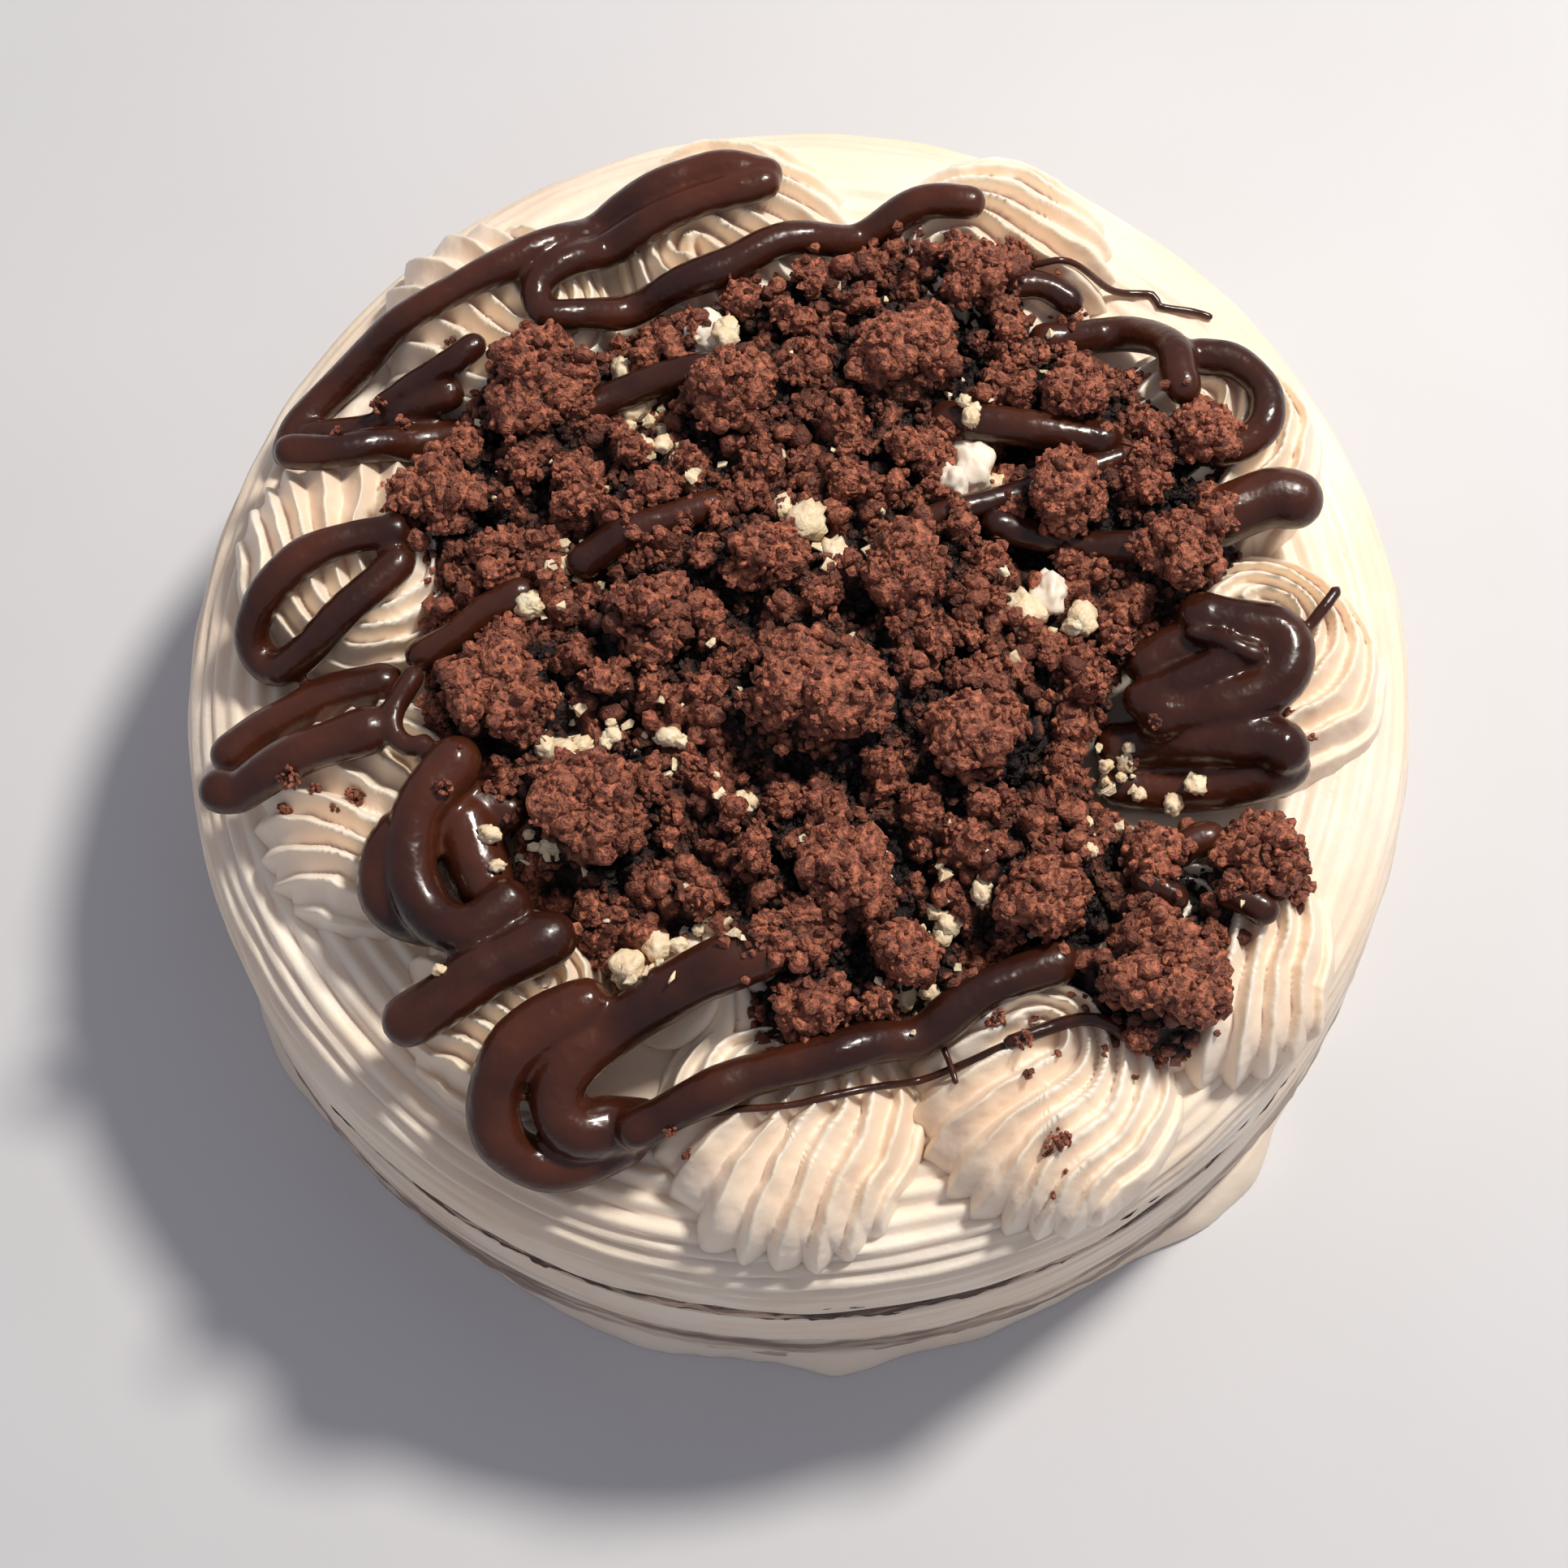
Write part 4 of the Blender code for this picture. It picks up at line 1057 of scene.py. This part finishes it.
CLUMPS = [
    (-0.038, 0.045, 0.0090), (-0.054, 0.028, 0.0070), (-0.047, -0.006, 0.0082),
    (-0.033, -0.025, 0.0090), (0.003, -0.011, 0.0110), (0.006, -0.039, 0.0080),
    (-0.002, -0.047, 0.0062), (0.034, -0.043, 0.0068), (0.013, -0.050, 0.0056),
    (0.051, -0.056, 0.0100), (0.0675, -0.039, 0.0070), (0.052, -0.037, 0.0052),
    (-0.001, -0.0565, 0.0060), (0.060, 0.010, 0.0066), (0.0655, 0.030, 0.0056),
    (0.017, 0.009, 0.0066), (-0.004, 0.012, 0.0066), (0.020, 0.045, 0.0085),
    (-0.008, 0.040, 0.0070), (0.042, 0.020, 0.0070), (0.026, -0.018, 0.0075),
    (-0.022, 0.004, 0.0070), (0.033, 0.058, 0.0065), (0.046, 0.038, 0.0062)
]
# Gaps where ganache, cream or nuts show between the crumbs: x, y, radius and depth
GAPS = [(-0.022, 0.043, 0.008, 0.006), (-0.031, 0.015, 0.006, 0.004), (0.004, 0.016, 0.007, 0.004),
        (0.038, 0.032, 0.006, 0.006), (0.029, 0.026, 0.006, 0.007), (0.038, 0.014, 0.006, 0.005),
        (0.040, 0.003, 0.005, 0.005), (-0.030, -0.013, 0.006, 0.004), (0.042, 0.058, 0.006, 0.006),
        (-0.050, 0.006, 0.006, 0.006), (-0.020, -0.048, 0.006, 0.004), (0.018, -0.046, 0.006, 0.004),
        (0.050, -0.026, 0.006, 0.005), (0.046, 0.024, 0.006, 0.005), (-0.007, 0.052, 0.005, 0.004),
        (0.058, -0.036, 0.006, 0.007), (0.020, 0.018, 0.005, 0.004)]
BED_CELL = 0.0009
BED_HALF = 0.078
BED_DROP = 0.0030
BED_FLOOR = PLATEAU + 0.002
# Depth, fineness and seed of each noise of the bed
BED_ROUGH = [(0.0044, 150, 1.0), (0.0034, 330, 2.0), (0.0010, 700, 3.0)]


def outline_distance(x, y):
    """Distance inside the heap's outline, negative outside."""
    inside = False
    nearest = 1.0
    for (x1, y1), (x2, y2) in zip(HEAP_OUTLINE, HEAP_OUTLINE[1:] + HEAP_OUTLINE[:1]):
        if (y1 > y) != (y2 > y) and x < x1 + (y - y1) * (x2 - x1) / (y2 - y1):
            inside = not inside
        dx, dy = x2 - x1, y2 - y1
        share = max(0.0, min(1.0, ((x - x1) * dx + (y - y1) * dy) / (dx * dx + dy * dy)))
        nearest = min(nearest, math.hypot(x - x1 - dx * share, y - y1 - dy * share))
    return nearest if inside else -nearest


def heap_height(x, y):
    """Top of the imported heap: highest in the middle, uneven all over."""
    away = (Vector((x, y)) - HEAP_CENTRE).length / HEAP_REACH
    rise = HEAP_RISE * max(0.0, 1 - away ** 2)
    return HEAP_EDGE + rise + LUMP_HEIGHT * noise.noise(Vector((x / LUMP_LENGTH, y / LUMP_LENGTH, 3.7)))


def bed_height(x, y):
    """The bed between the clumps, lower than the heap's top, and how far inside a point is."""
    height = heap_height(x, y) - BED_DROP
    for size, fineness, seed in BED_ROUGH:
        height += size * flat_noise(x, y, fineness, seed)
    for gx, gy, radius, depth in GAPS:
        height -= depth * math.exp(-((x - gx) ** 2 + (y - gy) ** 2) / radius ** 2 * 1.6)
    inside = outline_distance(x, y) + 0.0015 * flat_noise(x, y, 260, 8.0)
    edge = min(1.0, max(0.0, (inside + 0.001) / 0.0045)) ** 0.5
    return BED_FLOOR + (height - BED_FLOOR) * edge, inside


print("heap's top in the middle:", round(heap_height(*HEAP_CENTRE), 4))


# %% Bed of the heap
def make_bed():
    bm = bmesh.new()
    cells = round(2 * BED_HALF / BED_CELL)
    bmesh.ops.create_grid(bm, x_segments=cells, y_segments=cells, size=BED_HALF)
    outside = []
    for vert in bm.verts:
        height, inside = bed_height(vert.co.x, vert.co.y)
        vert.co.z = height
        if inside < -0.0005:
            outside.append(vert)
    bmesh.ops.delete(bm, geom=outside, context="VERTS")
    return from_bmesh("crumble_bed", bm)


bed = make_bed()
dress(bed, CRUMBLE, "crumble_heap")
print("bed faces:", len(bed.data.polygons))

# %% [markdown]
# A clump isn't a ball: it broke off a cake, so it is a bunch of knobs of all sizes. Each knob is
# an icosphere whose points are pushed out and in by noise, and knobs overlap at random. One
# ball with finer noise would still have a round outline, which real crumble never has.

# %% Clumps
# Centre x and y, and length, of each larger piece of nut: the clumps keep clear of them
NUTS = [
    (-0.025, 0.048, 0.0050), (-0.023, 0.042, 0.0065), (-0.019, 0.032, 0.0050),
    (-0.008, 0.053, 0.0055), (-0.034, 0.016, 0.0040), (-0.028, 0.016, 0.0036),
    (-0.039, 0.009, 0.0050), (-0.035, -0.013, 0.0070), (-0.019, -0.015, 0.0042),
    (-0.030, -0.013, 0.0036), (0.002, 0.019, 0.0060), (0.007, 0.014, 0.0062),
    (0.029, 0.035, 0.0036), (0.030, 0.023, 0.0050), (0.039, 0.002, 0.0080),
    (0.048, -0.023, 0.0036), (-0.008, -0.026, 0.0034), (-0.024, -0.047, 0.0078),
    (-0.017, -0.045, 0.0050), (0.014, -0.056, 0.0056), (0.018, -0.045, 0.0044),
    (0.024, -0.040, 0.0040), (-0.040, -0.030, 0.0040)
]
# A knob's radius as a share of its clump's, and that of the core knob
KNOB_SIZES = (0.34, 0.56)
CORE_KNOB = 0.74
BIG_CLUMP = 0.0048
BIG_KNOBS = (13, 17)
SMALL_KNOBS = (2, 4)
SMALL_CLUMPS = 330
SMALL_SIZES = (0.0012, 0.0040)
CLUMP_FIELD = ((-0.066, 0.077), (-0.068, 0.070))


def ball(detail):
    """The points and faces of an icosphere of radius 1."""
    bm = bmesh.new()
    bmesh.ops.create_icosphere(bm, subdivisions=detail, radius=1.0)
    points = np.array([vert.co[:] for vert in bm.verts])
    faces = np.array([[vert.index for vert in face.verts] for face in bm.faces])
    bm.free()
    return points, faces


BALLS = {detail: ball(detail) for detail in (1, 2, 3, 4)}


def knob(centre, radius, detail, draw, rough=1.0):
    """One knob's points and faces: an uneven, slightly flattened lump."""
    shift = Vector((draw.uniform(-9, 9), draw.uniform(-9, 9), draw.uniform(-9, 9)))
    stretch = (draw.uniform(0.8, 1.2), draw.uniform(0.8, 1.2), draw.uniform(0.7, 1.0))
    ways, faces = BALLS[detail]
    bulge = []
    for way in ways:
        slow = 0.36 * noise.noise(Vector(way) * 1.6 + shift)
        quick = 0.30 * rough * noise.noise(Vector(way) * 4.4 + shift)
        bulge.append(0.92 + slow + quick)
    return ways * np.array(stretch) * radius * np.array(bulge)[:, None] + np.array(centre), faces


def clump(x, y, z, radius, draw):
    """A bunch of knobs round a core."""
    centre = Vector((x, y, z))
    detail, knobs = (3, BIG_KNOBS) if radius > BIG_CLUMP else (2, SMALL_KNOBS)
    parts = [knob(centre, radius * CORE_KNOB, detail, draw)]
    for _ in range(draw.randint(*knobs)):
        way = Vector((draw.gauss(0, 1), draw.gauss(0, 1), draw.gauss(0.25, 0.8))).normalized()
        size = radius * draw.uniform(*KNOB_SIZES)
        place = centre + way * (radius - size * draw.uniform(0.70, 1.05))
        parts.append(knob(place, size, detail, draw))
    return parts


def joined(name, parts):
    """One mesh of many parts, each a pair of points and triangles."""
    points = np.concatenate([part[0] for part in parts])
    starts = np.cumsum([0] + [len(part[0]) for part in parts[:-1]])
    corners = np.concatenate([part[1] + start for part, start in zip(parts, starts)]).reshape(-1)
    mesh = bpy.data.meshes.new(name)
    mesh.vertices.add(len(points))
    mesh.vertices.foreach_set("co", points.reshape(-1).astype(np.float32))
    mesh.loops.add(len(corners))
    mesh.loops.foreach_set("vertex_index", corners.astype(np.int32))
    mesh.polygons.add(len(corners) // 3)
    mesh.polygons.foreach_set("loop_start", np.arange(0, len(corners), 3, dtype=np.int32))
    mesh.update(calc_edges=True)
    mesh.validate()
    return new_object(name, mesh)


def spot_in(field, draw):
    """A random x and y in a field of two spans."""
    return [draw.uniform(*span) for span in field]


def near_nut(x, y, room):
    return any(math.hypot(x - nx, y - ny) < length * 0.5 + room for nx, ny, length in NUTS)


def in_gap(x, y, share):
    return any(math.hypot(x - gx, y - gy) < size * share for gx, gy, size, _ in GAPS)


def place_clumps():
    """Every clump's place and radius: the ones that show, then small ones between them."""
    draw = random.Random(5)
    places = [(x, y, heap_height(x, y) + radius * 0.16, radius * 0.98) for x, y, radius in CLUMPS]
    while len(places) < len(CLUMPS) + SMALL_CLUMPS:
        x, y = spot_in(CLUMP_FIELD, draw)
        radius = draw.uniform(*SMALL_SIZES)
        height, inside = bed_height(x, y)
        if inside < radius * 0.6 or in_gap(x, y, 0.8) or near_nut(x, y, radius * 0.7):
            continue
        places.append((x, y, max(height, ground.height(x, y)) + radius * 0.3, radius))
    return places


def make_clumps(name, places, seed):
    draw = random.Random(seed)
    return joined(name, [part for place in places for part in clump(*place, draw)])


clump_places = place_clumps()
big_clumps = make_clumps("crumble_clumps", clump_places[:len(CLUMPS)], 6)
small_clumps = make_clumps("small_clumps", clump_places[len(CLUMPS):], 7)
for clumps in (big_clumps, small_clumps):
    dress(clumps, CRUMBLE, "crumble_heap")
print("clump faces:", len(big_clumps.data.polygons), len(small_clumps.data.polygons))

# %% [markdown]
# ## What shows through the gaps
# Between the clumps the photograph shows strands of ganache and bits of piped cream. They lie
# just under the crumble's surface, so the strands here follow the heap's height, a little
# lower.

# %% Strands and cream in the gaps
# Radius and route of each strand, and centre x and y and radius of each bit of cream
GAP_STRANDS = [
    (0.0030, [(0.0260, 0.0350), (0.0325, 0.0335), (0.0445, 0.0310), (0.0500, 0.0300)]),
    (0.0022, [(0.0200, 0.0170), (0.0270, 0.0190), (0.0360, 0.0215), (0.0445, 0.0245),
              (0.0520, 0.0270)]),
    (0.0024, [(0.0320, 0.0165), (0.0380, 0.0150), (0.0470, 0.0130), (0.0550, 0.0120)]),
    (0.0024, [(0.0330, 0.0590), (0.0365, 0.0585), (0.0425, 0.0585), (0.0470, 0.0560)]),
    (0.0026, [(-0.0580, 0.0030), (-0.0530, 0.0050), (-0.0470, 0.0085), (-0.0420, 0.0105)]),
    (0.0026, [(-0.0330, 0.0400), (-0.0260, 0.0430), (-0.0180, 0.0450), (-0.0060, 0.0460)]),
    (0.0028, [(-0.0320, 0.0150), (-0.0250, 0.0190), (-0.0180, 0.0210), (-0.0120, 0.0225)])]
GAP_CREAM = [(-0.0110, 0.0530, 0.0036), (0.0290, 0.0270, 0.0042), (0.0255, 0.0240, 0.0034),
             (0.0395, 0.0060, 0.0036)]
STRAND_LIFT = 0.0004
CREAM_SINK = 0.0015


def fill_gaps():
    strands = bmesh.new()
    for number, (radius, points) in enumerate(GAP_STRANDS):
        line = smooth_route(points, ROPE_STEP)
        heights = [heap_height(point.x, point.y) - BED_DROP + STRAND_LIFT for point in line]
        sweep_rope(strands, radius, line, heights, ROPE_SIDES, number * 3.3, BLUNT_END)
    dress(from_bmesh("gap_ganache", strands), GANACHE, "crumble_heap")
    draw = random.Random(3)
    spots = [knob((x, y, heap_height(x, y) - BED_DROP - CREAM_SINK), radius, 4, draw, 0.3)
             for x, y, radius in GAP_CREAM]
    dress(joined("gap_cream", spots), CREAM, "crumble_heap")


fill_gaps()
print("gaps filled:", len(GAP_STRANDS) + len(GAP_CREAM))

# %% [markdown]
# A grain is a ball of few faces whose points are moved in and out at random, so that no two are
# alike. numpy makes thousands at once, at random sizes, turns and squashes. A fine grain has
# 20 faces and a coarse one 80, because there are so many.

# %% Grains
# How far a fine and a coarse grain's points move, as shares of its radius
GRAIN_WOBBLE = {1: (0.62, 1.30), 2: (0.80, 1.18)}
FINEST_GRAIN = 0.00042
GRAIN_FIELD = ((-0.067, 0.078), (-0.069, 0.071))


def random_turns(count, draw):
    """Random rotations, as matrices made from random unit quaternions."""
    q = draw.normal(size=(count, 4))
    q /= np.linalg.norm(q, axis=1)[:, None]
    w, x, y, z = q.T
    rows = [1 - 2 * (y * y + z * z), 2 * (x * y - z * w), 2 * (x * z + y * w),
            2 * (x * y + z * w), 1 - 2 * (x * x + z * z), 2 * (y * z - x * w),
            2 * (x * z - y * w), 2 * (y * z + x * w), 1 - 2 * (x * x + y * y)]
    return np.stack(rows, axis=1).reshape(count, 3, 3)


def grain_mesh(name, centres, sizes, seed, detail=1):
    """Joined copies of the grain, one at each centre, with a random tone of each."""
    draw = np.random.default_rng(seed)
    points, faces = BALLS[detail]
    low, high = GRAIN_WOBBLE[detail]
    count = len(centres)
    wobble = draw.uniform(low, high, size=(count, len(points), 1))
    squash = draw.uniform(0.7, 1.15, size=(count, 1, 3))
    local = points[None] * wobble * squash * np.asarray(sizes)[:, None, None]
    placed = np.einsum("nij,nkj->nki", random_turns(count, draw), local) + np.asarray(centres)[:, None]
    all_faces = faces[None] + (np.arange(count) * len(points))[:, None, None]
    obj = joined(name, [(placed.reshape(-1, 3), all_faces.reshape(-1, 3))])
    tones = np.repeat(draw.uniform(0, 1, count) ** 2, len(points))
    attribute = obj.data.attributes.new("tone", "FLOAT", "POINT")
    attribute.data.foreach_set("value", tones.astype(np.float32))
    if detail == 1:
        obj.data.shade_flat()
    return obj


def grain_size(draw, largest):
    """Most grains are fine and a few are coarse."""
    return FINEST_GRAIN + (largest - FINEST_GRAIN) * draw.random() ** 1.4


def grains_on_bed(count, largest):
    """Points all over the bed, fewer where ganache or cream stands above it and in the gaps."""
    draw = random.Random(21 + count)
    centres, sizes = [], []
    while len(centres) < count:
        x, y = spot_in(GRAIN_FIELD, draw)
        height, inside = bed_height(x, y)
        if inside < -0.0004 or near_nut(x, y, -0.0004):
            continue
        under = max(height, ground.height(x, y))
        if under > height + 0.0012 and draw.random() < 0.8 or in_gap(x, y, 0.55) and draw.random() < 0.8:
            continue
        size = grain_size(draw, largest)
        centres.append((x, y, under + size * 0.3))
        sizes.append(size)
    return centres, sizes


def grains_on(obj, count, largest, seed):
    """Points on the faces of a piece, by their area, except where it faces down."""
    draw = random.Random(seed)
    faces = [face for face in obj.data.polygons if face.normal.z > -0.55]
    weights = [face.area for face in faces]
    centres, sizes = [], []
    for face in draw.choices(faces, weights, k=count):
        a, b, c = (obj.data.vertices[index].co for index in face.vertices[:3])
        u, v = sorted((draw.random(), draw.random()))
        point = a * u + b * (v - u) + c * (1 - v)
        size = grain_size(draw, largest)
        centres.append(tuple(point + face.normal * size * 0.35))
        sizes.append(size)
    return centres, sizes


grain_pieces = [grain_mesh("bed_grains", *grains_on_bed(9000, 0.0013), 31),
                grain_mesh("clump_grains", *grains_on(big_clumps, 8500, 0.0012, 41), 42),
                grain_mesh("small_clump_grains", *grains_on(small_clumps, 9500, 0.0011, 51), 52),
                grain_mesh("coarse_bed_grains", *grains_on_bed(1000, 0.0021), 71, 2),
                grain_mesh("coarse_clump_grains", *grains_on(big_clumps, 900, 0.0018, 72), 73, 2)]
for piece in grain_pieces:
    dress(piece, CRUMBLE, "crumble_heap")
print("grain faces:", sum(len(piece.data.polygons) for piece in grain_pieces))

# %% [markdown]
# ## Painted shade in the pits
# Crumbs deep in the heap get little light, and in the photograph they are almost
# black. Each crumb point gets an attribute of painted shade: how far it lies under the mean height of
# the highest crumbs around it. The crumble's finish turns dark by it, so the shade of the pits is
# painted into its colour.

# %% Depth in the heap
# A square grid of cells over the cake: its corner, its count each way and a cell's width
PIT_CORNER = -0.093
PIT_CELLS = 170
PIT_CELL = 0.0011
PIT_REACH = 3
# The depth under the crumbs around at which painted shade starts, and the depth over which it grows to
# full
SHADE_START = 0.0002
SHADE_RANGE = 0.0027


def cells_of(points):
    """The grid's column and row of each point."""
    cells = ((points[:, :2] - PIT_CORNER) / PIT_CELL).astype(int).clip(0, PIT_CELLS - 1)
    return cells[:, 0], cells[:, 1]


def mark_painted_shade(pieces):
    """Write each piece's attribute of painted shade, and return the largest mean of it."""
    places = []
    for piece in pieces:
        flat = np.empty(len(piece.data.vertices) * 3, dtype=np.float32)
        piece.data.vertices.foreach_get("co", flat)
        places.append(flat.reshape(-1, 3).astype(float))
    every = np.concatenate(places)
    tops = np.full((PIT_CELLS, PIT_CELLS), PLATEAU)
    np.maximum.at(tops, cells_of(every), every[:, 2])
    span = range(-PIT_REACH, PIT_REACH + 1)
    mean = sum(np.roll(tops, (i, j), axis=(0, 1)) for i in span for j in span) / len(span) ** 2
    darkest = 0.0
    for piece, points in zip(pieces, places):
        depth = mean[cells_of(points)] - points[:, 2]
        # Painted shade grows with the depth under the crumbs around
        pit = ((depth - SHADE_START) / SHADE_RANGE).clip(0, 1)
        attribute = piece.data.attributes.new("pit", "FLOAT", "POINT")
        attribute.data.foreach_set("value", pit.astype(np.float32))
        darkest = max(darkest, float(pit.mean()))
    return darkest


print("largest mean pit:", round(mark_painted_shade([bed, big_clumps, small_clumps] + grain_pieces), 2))

# %% [markdown]
# ## Chopped nuts
# Nuts break into blocky chips. The convex hull of a few random points has the same
# corners and flats, and costs about twenty faces. The larger pieces broke with a rough crumbly
# face, so each of them is a few knobs, as a clump is.

# %% Nuts
# Centre x and y, and length, of the pieces that lie beside the heap
LOOSE_NUTS = [(0.0511, -0.0258, 0.0028), (0.0562, -0.0274, 0.0035), (0.0596, -0.0254, 0.0037),
              (0.0498, -0.0191, 0.0022), (0.0424, -0.0309, 0.0020), (0.0423, -0.0359, 0.0022),
              (0.0461, -0.0231, 0.0020), (0.0470, -0.0241, 0.0016), (0.0454, -0.0241, 0.0015),
              (-0.0480, -0.0280, 0.0034), (-0.0470, -0.0330, 0.0026), (-0.0560, -0.0490, 0.0022)]
CHUNK_SHARES = (0.46, 0.34, 0.25)
CHIP_CORNERS = 15
CHIPS_PER_NUT = 7
CHIP_SPREAD = 0.0042
SCATTERED_CHIPS = 150
CHIP_FIELD = ((-0.060, 0.068), (-0.060, 0.060))
CHIP_ROOM = 0.003


def nut_chip(bm, x, y, z, length, draw):
    """A chip as the hull of random points in a box."""
    slim = draw.uniform(0.60, 0.95)
    points = []
    for _ in range(CHIP_CORNERS):
        x_share, y_share, z_share = (draw.uniform(-1, 1) for _ in range(3))
        spot = Vector((x_share, y_share * slim, z_share * slim * 0.85))
        points.append(bm.verts.new(spot * length / 2))
    hull = bmesh.ops.convex_hull(bm, input=points)
    spare = {item for item in hull["geom_interior"] + hull["geom_unused"]
             if isinstance(item, bmesh.types.BMVert)}
    kept = [vert for vert in points if vert not in spare]
    bmesh.ops.delete(bm, geom=list(spare), context="VERTS")
    heading = Matrix.Rotation(draw.uniform(0, math.tau), 3, "Z")
    turn = heading @ Matrix.Rotation(draw.uniform(-0.5, 0.5), 3, "X")
    bmesh.ops.rotate(bm, cent=(0, 0, 0), matrix=turn, verts=kept)
    bmesh.ops.translate(bm, vec=(x, y, z), verts=kept)


def top_height(x, y):
    """What a crumb or nut rests on: the bed, or the ganache or cream beside it."""
    height, inside = bed_height(x, y)
    under = ground.height(x, y)
    return max(height, under) if inside > 0 else under


def make_chunks():
    """The larger pieces, which broke with a rough crumbly face."""
    draw = random.Random(15)
    parts = []
    for x, y, length in NUTS:
        for share in CHUNK_SHARES:
            bx, by = x + draw.gauss(0, length * 0.30), y + draw.gauss(0, length * 0.30)
            height = top_height(x, y) + length * 0.36
            parts.append(knob((bx, by, height), length * share, 3, draw, 1.1))
    for x, y, length in LOOSE_NUTS:
        parts.append(knob((x, y, top_height(x, y) + length * 0.25), length * 0.48, 3, draw, 1.1))
    return joined("nut_chunks", parts)


def make_nuts():
    """Small chips: a few round each larger piece, and some all over the heap."""
    draw = random.Random(9)
    bm = bmesh.new()
    for x, y, _ in NUTS:
        for _ in range(CHIPS_PER_NUT):
            bx, by = x + draw.gauss(0, CHIP_SPREAD), y + draw.gauss(0, CHIP_SPREAD)
            small = draw.uniform(0.0010, 0.0028)
            nut_chip(bm, bx, by, top_height(bx, by) + small * 0.5, small, draw)
    for _ in range(SCATTERED_CHIPS):
        x, y = spot_in(CHIP_FIELD, draw)
        if outline_distance(x, y) < CHIP_ROOM:
            continue
        small = draw.uniform(0.0008, 0.0022)
        nut_chip(bm, x, y, top_height(x, y) + small * 0.6, small, draw)
    return from_bmesh("chopped_nuts", bm)


chunks = make_chunks()
nuts = make_nuts()
nuts.data.shade_flat()
for piece in (chunks, nuts):
    dress(piece, NUT, "crumble_heap")
print("nut faces:", len(chunks.data.polygons), "and", len(nuts.data.polygons))

# %% [markdown]
# ## Loose crumbs
# A few crumbs fell on the cream and on the ganache, outside the heap. Each is a bunch of fine
# grains, and the larger the crumb, the more of them.

# %% Loose crumbs
# Centre x and y, and radius, of each bunch
LOOSE_CRUMBS = [(0.030, -0.069, 0.0011), (0.035, -0.066, 0.0006), (0.042, -0.066, 0.0009),
                (0.046, -0.070, 0.0008), (0.034, -0.078, 0.0018), (0.035, -0.0795, 0.0014),
                (0.0325, -0.0805, 0.0013), (0.033, -0.086, 0.0008), (0.035, -0.083, 0.0006),
                (-0.078, -0.0170, 0.0022), (-0.0745, -0.0180, 0.0015), (-0.069, -0.0190, 0.0018),
                (-0.0800, -0.0195, 0.0012), (-0.072, -0.0210, 0.0009), (0.075, -0.0150, 0.0012),
                (0.0780, -0.0190, 0.0009), (0.0260, -0.0600, 0.0018),
                (0.0300, -0.0640, 0.0018), (0.0320, -0.0600, 0.0014),
                (-0.0540, -0.0215, 0.0016), (-0.0210, -0.0770, 0.0010), (-0.0230, -0.0745, 0.0011),
                (0.0535, -0.0170, 0.0012), (0.0500, -0.0210, 0.0014), (-0.0280, 0.0620, 0.0012),
                (-0.0560, 0.0520, 0.0012), (-0.0520, 0.0555, 0.0010), (-0.0640, 0.0460, 0.0014),
                (-0.0600, 0.0420, 0.0016), (-0.0700, 0.0400, 0.0012)]
LOOSE_SIZES = (0.00035, 0.00065)
LOOSE_GRAIN = 0.00045


def loose_places():
    """The centre and size of every grain of the bunches."""
    draw = random.Random(77)
    centres, sizes = [], []
    for x, y, radius in LOOSE_CRUMBS:
        z = ground.height(x, y)
        for _ in range(max(3, round((radius / LOOSE_GRAIN) ** 2 * 1.6))):
            way = Vector((draw.gauss(0, 1), draw.gauss(0, 1), draw.gauss(0, 1))).normalized()
            reach = radius * draw.random() ** 0.4
            spot = Vector((x, y, z + radius * 0.45)) + way * reach * 0.9
            centres.append(tuple(spot))
            sizes.append(draw.uniform(*LOOSE_SIZES))
    return centres, sizes


loose = grain_mesh("loose_crumbs", *loose_places(), 61)
dress(loose, CRUMBLE, "crumble_heap")
print("loose crumb faces:", len(loose.data.polygons))
